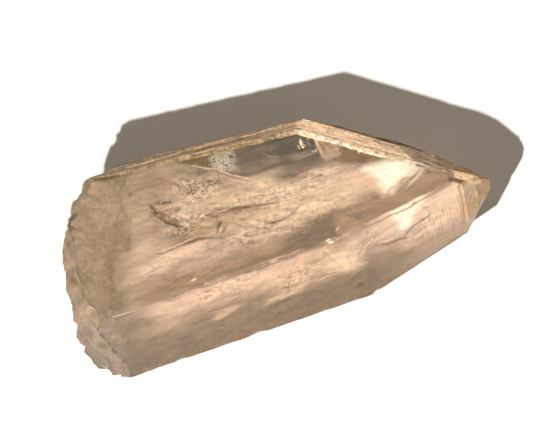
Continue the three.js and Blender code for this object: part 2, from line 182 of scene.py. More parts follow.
# Veils: the face each hangs under, its depth, extent along and across it, wave heights and seed; then, laid
# over each other in this order, in mm on that face:
#   spots    soft ellipses: colour, x, v, half length, half width, turn in degrees, strength
#   patches  areas with a clear edge: colour, strength, width of the edge, then x and v of each corner
#   lines    thin strokes: colour, strength, half width, then x and v of each bend
#   specks   where the veil is speckled: strength, x, v, half length, half width, turn
# The colour "clear" takes cover away. Shelves are flat steps: rise along x, rise across, height of a step.
# A veil may also have its own spacing along and across it, a turn in the face, and a width by which it
# shies from other faces.
# Some marks below are painted light, not the crystal's colour: white highlight patches, and dark patches that
# stand in for the shadow seen through the crystal.
VEILS = {
    "window": dict(
        face="top", depth=2.2, x=(-13.5, 22), v=(0.8, 12.8), waves=(0.08, 0.03, 0.01), seed=101, warp=0.12,
        spots=[("brown", 15.6, 4.8, 6.4, 3.6, -20, 1), ("tan", 15.6, 3.4, 5, 1.8, -18, 0.7)],
        patches=[
            # The moss and smoke patches are painted shade: dark sheets that stand in for the shadowed floor
            # seen through the clear crystal.
            ("moss", 1, 0.8, -13.4, 12.6, -13.4, 9.4, -6, 5.6, 0, 4.4, 7, 3.4, 11.8, 3.2, 12.2, 8.6,
             9, 12.4),
            ("smoke", 0.9, 3, 1.6, 12, 3.4, 8.2, 6, 6.8, 11.4, 6, 11.6, 9, 9, 12.4),
            ("tan", 0.6, 1.6, -2.6, 7, -1.8, 5.4, 0.8, 5.2, 1.2, 6.4, -0.4, 7.2),
            ("tan", 0.8, 1.2, 1.4, 7.2, 1.6, 6, 3.6, 5.8, 3.6, 7),
            ("moss", 0.6, 1.2, 4.2, 6, 4.6, 4.8, 9.2, 4.6, 9, 5.8),
            ("frost", 0.6, 1.2, -6.4, 10.8, -6.4, 7.6, -3, 6.6, -2.6, 11.2),
            ("brown", 0.9, 1, -11.4, 11.6, -10.2, 9.6, -7.4, 8.6, -6.8, 10.8),
        ],
        lines=[
            ("bark", 0.9, 0.16, -11.2, 11, -8.4, 10.9, -6.6, 10.7, -5.4, 10.9),
            ("smoke", 0.8, 0.1, -6.2, 10.4, -5.9, 9.6, -5.7, 8.6),
            ("frost", 0.8, 0.1, -6.5, 10.3, -6.2, 9.4, -6, 8.6),
            ("frost", 0.7, 0.08, 1.8, 8.4, 2.2, 7.8, 3, 7.3, 3.9, 7), ("milk", 0.7, 0.1, 3, 8.5, 3.3, 8.4),
            ("white", 1, 0.16, 8.1, 8.7, 8, 7.5), ("milk", 0.9, 0.1, 7.5, 7.8, 7.5, 7.2),
            ("milk", 0.7, 0.08, 9.2, 8.6, 9.2, 7.4), ("milk", 0.9, 0.13, 9.3, 6.2, 10, 6.1, 10.6, 6.6),
            ("tan", 0.7, 0.07, 7.2, 6.6, 8.4, 6.2, 9, 5.6),
            ("smoke", 0.8, 0.12, 3.5, 10.1, 7, 9.9, 9.4, 9.8), ("white", 0.9, 0.09, 13.2, 6.6, 13.4, 6.3),
            ("white", 0.9, 0.09, 14.2, 6.3, 14.4, 5.9), ("milk", 0.7, 0.07, 13.7, 5.8, 14.2, 5.4),
            ("white", 1, 0.15, 16.2, 4.6, 16.2, 3.5), ("bark", 0.7, 0.09, 13.4, 7.2, 15.6, 6.6, 17.8, 5.4),
        ],
        specks=[(1, -4.2, 9.2, 3, 2.4, 0), (0.8, 8.6, 6.8, 2.4, 1.8, 0), (0.8, 14.2, 5.8, 2.4, 1.6, -18)],
    ),
    "upper": dict(
        face="top", depth=1.3, x=(-27, 24), v=(-4, 11.4), waves=(0.2, 0.06, 0.022), seed=111, warp=0.3,
        spots=[
            ("beige", -22, 3, 7, 12, 0, 1), ("beige", -16, 6.5, 9, 8, -10, 0.95),
            ("drab", -15, 8.2, 5, 2.6, -20, 0.7), ("pink", -10, 2.6, 7, 3.4, -12, 0.85),
            ("rosy", -1, 3, 9, 3, -14, 0.95), ("milk", 6.5, -0.8, 11, 3.4, 0, 0.95),
            ("glow", -2, -2.2, 8, 2.4, 0, 0.8), ("rosy", -9, 4, 7, 3.6, -20, 0.75),
            ("glow", -3, 1.8, 8, 1.6, -14, 0.6), ("milk", 3.2, 0.8, 2.4, 1.1, -10, 0.85),
            ("pink", 10, 2.4, 5, 1.4, 2, 0.7), ("milk", 15.5, 0.4, 3, 1, 4, 0.8),
            ("sand", -11, -1.2, 5, 1.4, 4, 0.6), ("tan", -17.2, 3.4, 2.6, 2.2, -30, 0.3),
            ("beige", -4.5, 3.8, 6.5, 1.3, -20, 0.6), ("tan", -13.5, -1, 5, 1.5, 8, 0.45),
            ("glow", 13, 0.4, 4, 1.2, 8, 0.5), ("glow", 0.5, 3.2, 4, 0.7, -24, 0.5),
        ],
        patches=[
            ("clear", 1, 0.25, -12.4, 11.4, -9.6, 9.9, -7.8, 8.8, -6, 8, -3.9, 6.2, -2.2, 5.2, 0.5, 5.3,
             3.5, 5.4, 7, 5.1, 9, 5, 10.2, 4.7, 10.3, 6.2, 10.3, 8.4, 10.3, 12, -12, 12),
            ("clear", 0.6, 1, 5, 5.6, 5.6, 4.4, 7.6, 3.6, 10.4, 3.6, 10.2, 5.6),
            ("clear", 1, 3.4, -30, -12, -24.6, -12, -22, 12, -30, 12),
            ("clear", 0.95, 0.8, 14.4, 8.4, 13.3, 6.6, 13.1, 4.6, 13, 2.9, 14.6, 2.2, 16.6, 1.8, 18, 2.2,
             20.6, 1.2, 21, 2.6, 17.8, 5.4),
            ("beige", 1, 0.5, 10.1, 10.4, 10.2, 6.8, 10.4, 4, 13.4, 4, 13.3, 6.4, 14.8, 8.4),
        ],
        lines=[
            ("glow", 0.8, 0.16, -9.6, 9.8, -7.8, 8.7, -6, 7.9, -3.9, 6.1, -2.3, 5.1, -0.6, 4.1, 2.6, 2.6),
            ("brown", 0.7, 0.12, -7.6, 8.2, -5.8, 7.3, -3.8, 5.6, -2, 4.5),
            ("glow", 0.6, 0.16, -5.6, 6.6, -3.4, 5, -1, 3.6, 1.6, 2.2),
            ("straw", 0.95, 0.13, 10.3, 9, 10.3, 6.6, 10.4, 4.6),
            ("tan", 0.8, 0.22, 11.4, 7.6, 11.8, 6.2, 12.4, 4.9),
            ("bark", 0.75, 0.17, -5.9, 0.9, -4, 0.55, -2, 0.2, 0.9, -0.25),
            ("brown", 0.8, 0.12, -8.6, 2, -7, 1.5, -5.4, 1.1, -2.4, 0.5),
            ("brown", 0.8, 0.14, -9.2, 0.6, -7.1, 0.8, -5.9, 0.8, -4.4, 0.5),
            ("brown", 0.7, 0.08, -5.9, 0.9, -5.9, -0.1),
            ("bark", 0.95, 0.3, -17.8, 5.6, -17.3, 3.9, -16.2, 2.1, -14.1, 0.6),
            ("bark", 0.9, 0.2, -16, 5.2, -15.2, 5.4, -14.4, 5), ("bark", 0.9, 0.22, -14.2, 3.6, -13.6, 3.4),
            ("glow", 0.8, 0.14, -17.2, 5.4, -16.5, 4.6), ("bark", 0.9, 0.2, -9.4, -2, -8.7, -1, -8.1, -0.4),
            ("bark", 0.9, 0.18, -8.6, -2.3, -8, -1.7, -7.4, -1.2),
            ("bark", 0.6, 0.12, -8.9, -1, -8.5, -0.5), ("glow", 0.7, 0.12, -9, -2.1, -8.2, -0.8),
            ("bark", 0.8, 0.15, -5.4, -1.1, -4.3, -1.2), ("bark", 0.6, 0.12, -5.5, -2.2, -4.9, -2.3),
            ("brown", 0.6, 0.1, -16.4, -1, -14.6, -0.9, -12.8, -0.4, -11.2, 0.4),
            ("brown", 0.6, 0.1, -15.6, -1.7, -13.8, -1.3, -12.2, -0.9),
            ("brown", 0.6, 0.08, 0.2, -2, 2.4, -1.8, 4.7, -1.9),
            ("milk", 0.6, 0.22, 0.6, 2, 2.2, 1.4, 3.8, 1.3),
            ("milk", 0.5, 0.18, 1.6, 0.6, 3.4, 0, 5.4, 0.2),
            ("glow", 0.6, 0.2, 5.6, 2.4, 6.6, 1.2, 8.4, 0.6),
            ("milk", 0.5, 0.16, 9.8, 0.4, 10.6, 1.4, 11.8, 1.8),
            ("milk", 0.6, 0.12, 9.6, 2.6, 11, 2.2, 12.4, 2.4),
            ("bark", 0.6, 0.12, 7, 1.7, 8.2, 1.9, 9.6, 1.5),
            ("brown", 0.5, 0.1, 10.4, 1.8, 11.6, 1.2, 13, 1.6),
            ("glow", 0.6, 0.18, -12.4, 1.4, -10.4, 1.2, -8.8, 1.9),
            ("brown", 0.5, 0.1, -13, 2.2, -11.4, 2.6, -9.6, 2.3),
        ],
        specks=[
            (1, -9.5, 6.2, 5, 3, -15), (0.9, -13, 0.8, 6.6, 3.6, 0), (0.9, -17, 4, 2.6, 2.4, 0),
            (0.75, 2, 0, 16, 5, 0), (0.9, 8.5, 1.7, 5, 0.8, 4), (0.5, 1, 2, 8, 2, -14),
        ],
    ),
    "front": dict(
        face="top", depth=0.7, x=(-29, 29), v=(-9.9, 2), waves=(0.1, 0.05, 0.02), seed=121, warp=0.2,
        spots=[
            ("beige", -24, -6, 6, 6, 0, 0.95), ("glow", 5, -2.6, 13, 2.2, 3, 0.9),
            ("rosy", -3.5, -4.8, 8.5, 2.2, 4, 0.95), ("pink", -16, -4, 7.6, 1.9, 5, 0.95),
            ("glow", -17, -3.4, 5, 1, 4, 0.5), ("milk", -20, -4.2, 3.4, 1.3, 6, 0.35),
            # The taupe, drab and tan spots along the lowest strip are painted shade: a dark band above the
            # front edge, where the shadow behind the crystal shows in it.
            ("taupe", -18, -8, 9, 1.8, 4, 0.95), ("drab", -21, -8.4, 7, 1.2, 2, 0.6),
            ("drab", -13.6, -7.2, 3.8, 0.9, 6, 0.5), ("taupe", -6, -7, 7, 1.6, 4, 0.9),
            ("tan", -1, -8.6, 9, 1, 2, 0.9), ("milk", -9.6, -5.4, 0.8, 0.5, 0, 0.5),
            ("glow", 12.5, -2, 5.6, 1.6, 10, 0.8), ("milk", 23, -2.9, 3.6, 1.3, 20, 0.8),
            ("rosy", -13, -5.9, 4.6, 0.9, 4, 0.8), ("glow", -20.5, -1.4, 3.4, 1.4, 0, 0.6),
        ],
        patches=[
            ("clear", 1, 3.4, -32, -12, -28, -12, -25, 4, -32, 4),
            # The dusk and taupe patches carry that painted shade on along the front edge.
            ("dusk", 0.95, 1, 0.6, -6.9, 2.9, -5.6, 4.8, -5.1, 6.9, -4.6, 9.7, -4.2, 10.9, -5.6, 9, -7.2,
             6.2, -8.6, 3.4, -9.2, 0.4, -8.8),
            ("taupe", 0.9, 1.1, 9, -5, 13.4, -4.3, 16.6, -4.7, 19.1, -5, 20.5, -4.9, 22, -4.2, 26, -3.2,
             29, -4.2, 26.5, -7.2, 17, -9, 7.5, -9.8),
            # The glow and white patches are a painted highlight.
            ("glow", 0.8, 1.6, 13.6, 0.3, 19.5, 0.3, 23.8, -0.8, 26.4, -1.9, 22.4, -2.9, 20.4, -3.4,
             18.9, -4.8, 17, -4.6, 15.9, -1.8),
            ("white", 0.9, 1.3, 15.4, 0.8, 19.5, 0.8, 23.8, -0.5, 25.7, -1.8, 22.4, -2.4, 20.4, -2.8,
             18.7, -4.1, 17.8, -3.8, 17.2, -1.8),
        ],
        lines=[
            ("bark", 0.8, 0.15, -19.8, -2.3, -17.9, -2.6, -15.5, -2.3, -12.8, -2.1, -10.8, -2.5, -9, -3.1,
             -6.7, -3.2),
            ("glow", 0.7, 0.11, -18.4, -2.3, -15.6, -2, -13.2, -1.8),
            ("white", 0.9, 0.12, -15.7, -8.15, -14.8, -8),
            ("bark", 0.8, 0.18, -2, -3.1, -0.6, -3.3, 0.4, -3.35, 2, -3.1),
            ("bark", 0.5, 0.1, 2, -3.1, 3.2, -2.6, 4.2, -1.9),
            ("milk", 0.8, 0.16, 0.4, -2.6, 2.2, -2.5, 3.8, -1.5),
            ("tan", 0.8, 0.1, 9.6, -5.6, 11.6, -4.8, 13.8, -5.2, 16.4, -5.4),
            ("tan", 0.6, 0.08, 10.8, -6.3, 13, -5.8, 15, -6.2),
            ("bark", 0.6, 0.13, 19.6, -4.8, 20.6, -4, 22.3, -3.1, 24.2, -2.2),
            ("bark", 0.55, 0.11, 20.8, -5, 22.8, -4, 24.6, -3.2, 26.4, -3),
            ("brown", 0.8, 0.12, 20.4, -3.5, 21, -2.9, 21.8, -2.8),
            ("milk", 0.8, 0.12, 20.8, -4.4, 22.6, -3.5, 24.4, -2.7),
            ("brown", 0.7, 0.1, 17.8, -4.4, 18.7, -3.7, 19.6, -3.6),
            ("bark", 0.8, 0.1, -24, -9.35, -10, -9.5, 0, -9.5, 4, -9.3),
            ("white", 0.9, 0.14, 6.4, -9, 7.4, -9), ("white", 0.9, 0.12, 8.2, -7.6, 8.8, -7.1),
            ("milk", 0.8, 0.1, 0.4, -8.9, 1.4, -8.6), ("milk", 0.7, 0.08, 3.2, -6.4, 3.6, -6.2),
        ],
        specks=[
            (0.9, -13.6, -7.2, 4.4, 1, 6), (0.6, 0.6, -8.8, 2.6, 0.7, 0), (0.7, 7, -9, 1.8, 0.8, 0),
            (0.6, 12, -5.6, 5, 1.6, 0), (0.8, 0, -3.6, 16, 3, 3), (0.5, -18, -5, 8, 3, 3),
        ],
    ),
    "face": dict(
        face="front_upper", depth=0.7, x=(-31, 14), v=(-9.6, 4.1), waves=(0.1, 0.05, 0.02), seed=131,
        warp=0.3,
        spots=[
            ("drab", -10, -5, 26, 6, 0, 0.9), ("blush", -8, 2.6, 19, 2, 0, 0.8),
            ("peach", -17, 1, 7.2, 2.4, -3, 0.45), ("peach", -6.5, 0.8, 6, 2.2, 0, 0.4),
            ("peach", 3, -0.4, 8, 2.8, 5, 0.6), ("peach", -1.6, -3.6, 3, 1, 4, 0.7),
            ("shell", -20, 0.9, 3, 1.6, 6, 0.2), ("peach", -22, -1.8, 4.4, 1.8, 4, 0.25),
            ("shell", 8.8, -1, 2.6, 2.4, 0, 0.8), ("shell", 4.5, 0.8, 4.6, 0.8, 4, 0.2),
            ("peach", -12, -3.2, 2, 0.7, 6, 0.5), ("brown", -8, -7.6, 22, 2, 0, 0.85),
            ("drab", -28, 0.5, 3.6, 3.6, 4, 0.5), ("brown", 4, -6, 9, 2.2, 0, 0.85),
            ("drab", 2.8, 1.2, 1.6, 0.8, 0, 0.5),
        ],
        patches=[("clear", 1, 3, -34, -12, -29, -12, -28, 6, -34, 6)],
        lines=[
            # The shell line along the upper edge at the base end is a painted highlight.
            ("shell", 0.8, 0.12, -30, 3.6, -27.6, 3.7, -25.2, 3.5),
            ("brown", 0.7, 0.12, -29.6, 3.1, -27, 3.2, -25.4, 3),
            ("brown", 0.6, 0.2, -27.8, -1.8, -26.9, -2.1), ("brown", 0.6, 0.16, -27.2, 0.8, -26.2, 0.4),
            ("bark", 0.8, 0.1, -15, 1, -14.5, 1.3, -14.2, 0.9, -13.8, 1.2),
            ("bark", 0.7, 0.1, -9.6, 0.3, -9.2, -0.2, -8.8, 0.2), ("bark", 0.5, 0.1, -8.5, 0.2, -8.3, -0.4),
            ("bark", 0.8, 0.14, -2.4, -2.1, -1.8, -1.8, -1.4, -2.4),
            ("bark", 0.7, 0.12, -0.9, -1.2, -1.2, -2.2, -1.1, -3.2),
            ("brown", 0.7, 0.14, 1.9, -0.5, 2.8, 0.1), ("brown", 0.6, 0.1, 4.6, -0.2, 5.6, -0.6),
            ("peach", 0.5, 0.12, 5.6, 3.2, 6.9, 0.6, 8.4, -2.2, 8.6, -3.8),
            ("brown", 0.45, 0.09, 5.2, 2.6, 6.4, 0.4, 7.8, -2.2),
            ("shell", 0.6, 0.16, 5.4, -2.2, 7, -2.4, 8.4, -2.6),
            ("peach", 0.7, 0.12, 2.8, -3.2, 5, -2.9, 7.2, -3), ("white", 0.9, 0.15, 6, 3.7, 7.2, 3.9),
            ("white", 0.8, 0.11, 7.8, 3.4, 8.5, 3.7), ("bark", 0.7, 0.08, -26, -6.2, -22, -6.6, -17, -6.4),
            ("brown", 0.6, 0.08, -14, -7.6, -8, -7.9, -3, -7.7),
        ],
        specks=[
            (0.8, -12, 2.4, 9, 1.6, 0), (0.7, -8.6, 0.2, 4, 1.8, 0), (0.8, 0.6, -1, 5, 2.4, 0),
            (0.5, 6.6, 2.6, 2, 1.6, 0), (0.6, -26.5, 0, 3, 3, 0), (0.5, -10, -5, 24, 4, 0),
        ],
    ),
    "point": dict(
        face="front_upper_steep", depth=0.6, x=(7, 31), v=(-9.4, 4.6), along=0.08, across=0.16,
        waves=(0.08, 0.03, 0.012), seed=141, warp=0.2,
        spots=[
            ("pink", 21, 0, 13, 6.4, 0, 0.9), ("shell", 25, 0, 6, 3, 0, 0.6),
            ("milk", 26.8, 3, 2.6, 1.6, 0, 0.5), ("drab", 14.5, -5.4, 6.5, 2.6, 10, 0.9),
            ("beige", 23, -6.4, 6, 1.6, 12, 0.6), ("glow", 14, 1.6, 4.4, 1.6, -6, 0.7),
            ("milk", 8.2, -0.4, 1.8, 3.2, 0, 0.8), ("shell", 28, 3.6, 3.4, 1.8, 0, 0.8),
            ("glow", 18.8, -3.6, 3, 0.9, 8, 0.6), ("milk", 22.2, -0.6, 2.6, 1.2, 0, 0.5),
            ("shell", 30, -3, 1.6, 3, 0, 0.7),
        ],
        patches=[
            # The milk and white patches are a painted highlight, the glare on the steep face.
            ("milk", 0.9, 2.4, 14.2, 3.4, 18, 4.6, 22.8, 4.6, 21.8, 3.2, 20.3, 1.8, 19.2, 0.4, 18.2, -1.1,
             16.2, -0.8, 15.4, 1.2, 14.6, 2.2),
            ("white", 0.9, 1.4, 15.8, 3.6, 18, 4.3, 21.4, 4.4, 20.8, 3.2, 19.5, 1.8, 18.8, 0.6, 18, -0.5,
             16.9, -0.2, 16.8, 1.2, 16.2, 2.4),
        ],
        lines=[
            ("bark", 0.85, 0.14, 10, -0.8, 11.2, -1.2, 12.4, -1.1, 14.2, -1.6, 15.9, -1.8, 17.3, -1.9,
             18, -1.1, 18.7, -0.6, 20, -0.2, 21.2, 0, 22.4, 0.6),
            ("glow", 0.8, 0.13, 12.6, -0.6, 14.4, -1.1, 16.4, -1.3, 17.4, -1.3, 18.4, -0.2),
            ("brown", 0.8, 0.11, 10.2, -2, 11.8, -2.8, 13.3, -3.2, 14.8, -3.5, 16.2, -3.4),
            ("brown", 0.7, 0.16, 8.2, -2.4, 9.1, -1.4, 9.8, -0.4, 10.6, 0.3),
            ("milk", 0.8, 0.15, 8.8, -2.6, 9.7, -1.5, 10.6, -0.4, 11.4, 0.2),
            ("brown", 0.7, 0.14, 11, 1.6, 11.4, 2.5), ("bark", 0.7, 0.14, 16.4, 3.1, 16.9, 3.4),
            ("brown", 0.7, 0.1, 20.8, 1.6, 21.3, 2.4, 21.7, 1.8, 22.2, 2.2),
            ("brown", 0.6, 0.1, 19.5, -3.2, 20.1, -2.9, 20.4, -3.6),
            ("bark", 0.7, 0.12, 24.2, 0.2, 24.3, -0.3), ("brown", 0.6, 0.1, 18.2, -2.6, 18.9, -3.4),
            *STRIATIONS,
        ],
        specks=[(0.7, 20, -1.5, 5, 2.4, 10), (0.5, 12, 0, 4, 2, 0), (0.4, 25, -3, 5, 3, 0)],
    ),
    "back_edge": dict(
        face="back_upper", depth=0.35, x=(-27, 11), v=(-5.2, 8.8), turn=-2.6, across=0.055, shy=0.55,
        waves=(0.04, 0.02, 0), seed=151, warp=0.1, shelves=(0.077, 1.7, 0.6),
        spots=[
            ("fawn", -8, 2, 30, 12, 0, 1), ("tan", -20, 0, 6, 6, 0, 0.6),
            ("tan", -10, 0.6, 14, 1.4, 6, 0.6), ("straw", 6, 4, 7, 8, 0, 0.5),
        ],
        lines=[
            ("straw", 0.95, 0.8, -20, -1.8, -12.6, 0.9, -2.1, 5.2, 7, 8.6),
            ("straw", 0.8, 0.5, -16, -3.6, -6, -3.4, 2, -3.2, 9, -2.6),
            ("brown", 0.85, 0.45, -14, -2.2, -4, -0.6, 4, 1.6),
            ("brown", 0.85, 0.4, -4, 2.2, 3, 5, 8.6, 6.4), ("umber", 0.8, 0.4, -2, -1.6, 5, -0.6, 10, 1.6),
            ("cream", 0.9, 0.4, -8, 1.4, 0, 2.8, 6, 3.6),
            ("umber", 0.8, 0.35, -20, -3.4, -12, -2.9, -4, -2.2),
        ],
        specks=[(1, -8, 2, 60, 20, 0)],
    ),
    "back_point": dict(
        face="back_upper_point", depth=0.35, x=(-0.5, 32), v=(-2.8, 9.5), turn=-22, across=0.06, shy=0.5,
        waves=(0.04, 0.02, 0), seed=161, warp=0.1, shelves=(0.573, 1.42, 0.6),
        spots=[
            ("cream", 12, -1, 22, 16, -30, 1), ("fawn", 24, -7, 4, 2, -30, 0.7),
            ("tan", 18.6, -1.6, 5, 1.4, -34, 0.4), ("straw", 30.5, -10, 2.4, 3, -30, 0.8),
        ],
        patches=[
            ("taupe", 0.85, 0.8, 13, -8.4, 15.2, -7.8, 18, -8.6, 20.6, -9.8, 23, -11.4, 25, -13.4,
             21.3, -14.4, 18.4, -12.8, 15.5, -11.2),
            ("white", 1, 0.4, 24.4, -9.8, 27.6, -9.2, 29, -10.4, 27.6, -12.4, 25, -12.2),
        ],
        lines=[
            ("sand", 0.5, 0.25, 3.1, -2.9, 12.4, -6.2, 21.7, -10.4),
            ("brown", 0.45, 0.22, 5, -1.6, 13.2, -5.2, 19.4, -7.4),
            ("sand", 0.6, 0.3, 3.8, 1.7, 10.1, -1, 17.4, -3.5),
            ("brown", 0.45, 0.22, 9.8, 1.9, 14.1, -0.9, 21.4, -4.6),
            ("sand", 0.5, 0.25, 3.7, 4.5, 9, 2.9, 14.4, 0),
            ("brown", 0.5, 0.25, 5.5, 6.1, 10.7, 4.2, 15.4, 1.4),
            ("umber", 0.7, 0.3, 13, -8.2, 17.6, -9.6, 22.6, -12),
            ("white", 0.8, 0.3, 12, -5.2, 17, -5.4, 22.4, -8.8),
        ],
        specks=[(0.88, 14, -1, 60, 40, -30)],
    ),
    "back_tip": dict(
        face="back_upper_tip", depth=0.35, x=(17, 31), v=(-11.5, 3), across=0.06, shy=0.3,
        waves=(0.04, 0.02, 0), seed=201, warp=0.1, shelves=(0.695, 1.5, 0.6),
        spots=[("taupe", 22, -5, 12, 12, 0, 1), ("fawn", 25, -2, 5, 2, 0, 0.6)],
        patches=[("cream", 1, 0.5, 23.4, -9.8, 23.8, -6.8, 28.8, -4.8, 29.6, -7.4, 26, -10)],
        lines=[
            ("cream", 0.8, 0.25, 18.6, -6.4, 22, -7.4, 24.4, -7.2),
            ("umber", 0.6, 0.25, 18.6, -4, 23, -5.4, 29.6, -3.4),
        ],
        specks=[(0.7, 22, -5, 20, 20, 0)],
    ),
    "front_low": dict(
        face="front_lower", depth=1, x=(-28, 16), v=(-5.2, 7), waves=(0.2, 0.08, 0.03), seed=181, warp=0.6,
        spots=[
            ("beige", -24, 1, 8, 7, 0, 0.9), ("sand", -11, 3.4, 9, 2.4, -6, 0.7),
            ("beige", -4, -1.6, 8, 1.6, 8, 0.5), ("sand", 7, 2.6, 6, 2.2, 10, 0.6),
            ("tan", 2, -3.8, 9, 1.2, 0, 0.5),
        ],
        lines=[
            ("straw", 0.6, 0.12, -16, -1.4, -10, 0.2, -5, 0.6), ("brown", 0.5, 0.1, -2, 3.4, 3, 1.6, 8, 1),
            ("straw", 0.6, 0.12, 4, -2, 9, -0.6, 13, 1),
        ],
        specks=[(0.7, -12, 2, 9, 4, 0), (0.6, 6, 1, 7, 3, 0)],
    ),
    "back_low": dict(
        face="back_lower", depth=1, x=(-26, 12), v=(-9, 6.6), waves=(0.2, 0.08, 0.03), seed=191, warp=0.6,
        spots=[
            ("beige", -22, -2, 8, 8, 0, 0.9), ("sand", -8, -5, 9, 2.6, 6, 0.7),
            ("beige", -2, 1, 9, 1.8, -8, 0.5), ("sand", 6, -3, 5, 2.4, -10, 0.6),
            ("tan", -10, 4, 10, 1.2, 0, 0.4),
        ],
        lines=[
            ("straw", 0.6, 0.12, -14, 0.4, -9, -1.2, -3, -1.4),
            ("brown", 0.5, 0.1, -4, -6.4, 1, -4.6, 6, -5.2),
        ],
        specks=[(0.7, -9, -3, 9, 4, 0)],
    ),
    "tip": dict(
        face="front_upper_point", depth=0.5, x=(14.5, 25.5), v=(-6, 4), waves=(0.06, 0.03, 0.01), seed=171,
        warp=0.15,
        spots=[
            ("straw", 20, 0, 9, 7, 0, 0.95), ("fawn", 22.8, -1.6, 2.2, 2.2, 0, 0.6),
            ("milk", 21.4, 1.2, 1.6, 0.5, -20, 0.6),
        ],
        patches=[
            ("glow", 0.95, 0.25, 14.5, 4.5, 18.4, 3.6, 20, 1.4, 20.7, -1.4, 20.4, -4.2, 19, -7, 14.5, -7),
        ],
        lines=[
            ("white", 0.8, 0.13, 18.6, 3.7, 20.2, 1.5, 20.9, -1.4, 20.6, -4.3),
            ("iron", 0.7, 0.3, 19.2, 3.9, 20.9, 1.6, 21.6, -1.4, 21.2, -4.4),
            ("bark", 0.7, 0.1, 21.6, -0.8, 22.4, -2.6, 22.2, -3.6),
            ("milk", 0.7, 0.1, 22.6, -0.4, 23.3, -2), ("brown", 0.7, 0.09, 20.2, -2.2, 21.4, -3.4),
        ],
        specks=[(0.8, 21.5, -2, 3, 2.4, 0)],
    ),
}

WISP_TURN, WISP_STRETCH = 8, 3.2     # a veil's wisps: their turn in the face in degrees, and length to width
RIM_FADE, FACE_FADE = 0.4, 0.25      # how wide a veil fades at its rim and beside another face, mm
VEIL_MARGIN = 0.22                   # the least depth of a veil under any face, mm

# Flakes: face, x, v, depth, spread along, across and in depth, turn, how many, size, mm; then colour and
# seed.
FLAKES = {
    "pale": ((
        ("top", -9, 6, 1.6, 4.5, 2.4, 0.5, -15, 420, 0.085),
        ("top", -14, 1.6, 1.6, 5, 3, 0.6, 0, 260, 0.08), ("top", -5, 8.4, 2, 2, 1.5, 0.4, 60, 420, 0.09),
        ("top", 8, 7.6, 2, 0.5, 0.5, 0.3, 90, 26, 0.12), ("top", 9.2, 6, 2, 0.9, 0.5, 0.3, 0, 20, 0.1),
        ("top", 14, 6, 1.6, 1.2, 0.6, 0.4, 0, 40, 0.09),
        ("front_upper", 7, 3.2, 0.9, 1.4, 0.7, 0.2, 0, 90, 0.11),
        ("front_upper", 1.8, 3.4, 0.8, 0.7, 0.4, 0.2, 0, 30, 0.1),
        ("front_upper", -10, 2.2, 1, 8, 1.6, 0.4, 0, 420, 0.075),
        ("top", 24, -2.6, 1.4, 5, 1.6, 0.4, 20, 120, 0.08),
        ("front_upper", 2, 1.2, 1.2, 5, 2, 0.4, 0, 260, 0.07),
    ), "FFEFD6", 201),
    "dark": ((
        ("top", -9.5, 6, 1.4, 4.5, 2.4, 0.4, -15, 190, 0.065),
        ("top", -13, 0.6, 1.4, 5.5, 2.2, 0.5, 0, 160, 0.07),
        ("top", -12.5, -7.2, 1, 4.5, 0.9, 0.3, 6, 200, 0.08),
        ("front_upper", -12, 2.4, 0.9, 8, 1.2, 0.3, 0, 220, 0.07),
        ("top", 0.5, -8.6, 0.9, 2.5, 0.5, 0.2, 5, 70, 0.09),
        ("front_upper_steep", 21, -0.6, 0.8, 2.5, 1.4, 0.2, 40, 60, 0.08),
    ), "6A5238", 202),
}

FLAKE_DEPTH = 0.45    # the least depth of a flake, mm

# Open cracks: face, x, v, depth, half length, half width, turn, tilt, bend.
CRACKS = (
    ("top", -16.2, 3.2, 1, 2.6, 0.7, -40, 40, 0.3), ("top", -2.4, 0.35, 0.8, 3.2, 0.35, -11, 62, 0.1),
    ("top", -7.6, 1.4, 0.8, 2.2, 0.3, -16, 62, 0.1), ("top", -8.3, -1.6, 0.8, 1.1, 0.3, 50, 66, 0.1),
    ("top", 0.4, -3.2, 0.6, 2.2, 0.3, 8, 62, 0.1), ("top", 22.2, -3.3, 0.6, 2.4, 0.4, 32, 62, 0.15),
    ("top", 24, -3.6, 0.6, 1.8, 0.3, 26, 62, 0.1), ("top", 10.9, 6.6, 1.3, 2, 0.4, -76, 62, 0.1),
    ("front_upper", -1.4, -2.4, 0.6, 0.9, 0.3, 70, 60, 0.1),
    ("front_upper_steep", 15, -1.7, 0.7, 3.4, 0.4, -6, 62, 0.1),
    ("front_upper_steep", 20.6, -0.1, 0.6, 1.6, 0.3, 12, 62, 0.1),
)

# The stage: the floor's half width and height, the colours of the light, and the camera's sensor and lens,
# in mm.
FLOOR_HALF, FLOOR_HEIGHT = 3.0, -0.00003
LAMP_COLOUR, SURROUND_COLOUR = (1.0, 0.97, 0.93), (1.0, 0.88, 0.72)
SENSOR_WIDTH, LENS_LENGTH = 36.0, 148.6


# --- Small helpers ------------------------------------------------------------------------------------------
def hex_linear(code):
    """Turns an sRGB hex colour such as F2E4D2 into linear red, green and blue."""
    srgb = np.array([int(code[i:i + 2], 16) for i in (0, 2, 4)]) / 255
    linear = np.where(srgb <= 0.04045, srgb / 12.92, ((srgb + 0.055) / 1.055) ** 2.4)
    return tuple(float(c) for c in linear)


def unit(vector):
    """The vector, or each row of an array of them, divided by its length."""
    vector = np.asarray(vector, float)
    return vector / np.linalg.norm(vector, axis=-1, keepdims=True)


def turned(u, w, degrees):
    """(u, w) turned in its plane by an angle a: u cos a - w sin a, and u sin a + w cos a."""
    a = math.radians(degrees)
    return u * math.cos(a) - w * math.sin(a), u * math.sin(a) + w * math.cos(a)


def level(x, v):
    """Rows (x, v, 0), at which ripple gives its noise in a plane."""
    return np.stack([x, v, 0 * x], axis=1)


def face_normal(turn, lean):
    """Outward direction: sin(lean) along the axis, the rest turned round it by turn."""
    turn, lean = math.radians(turn), math.radians(lean)
    return np.array([math.sin(lean), math.cos(lean) * math.cos(turn), math.cos(lean) * math.sin(turn)])


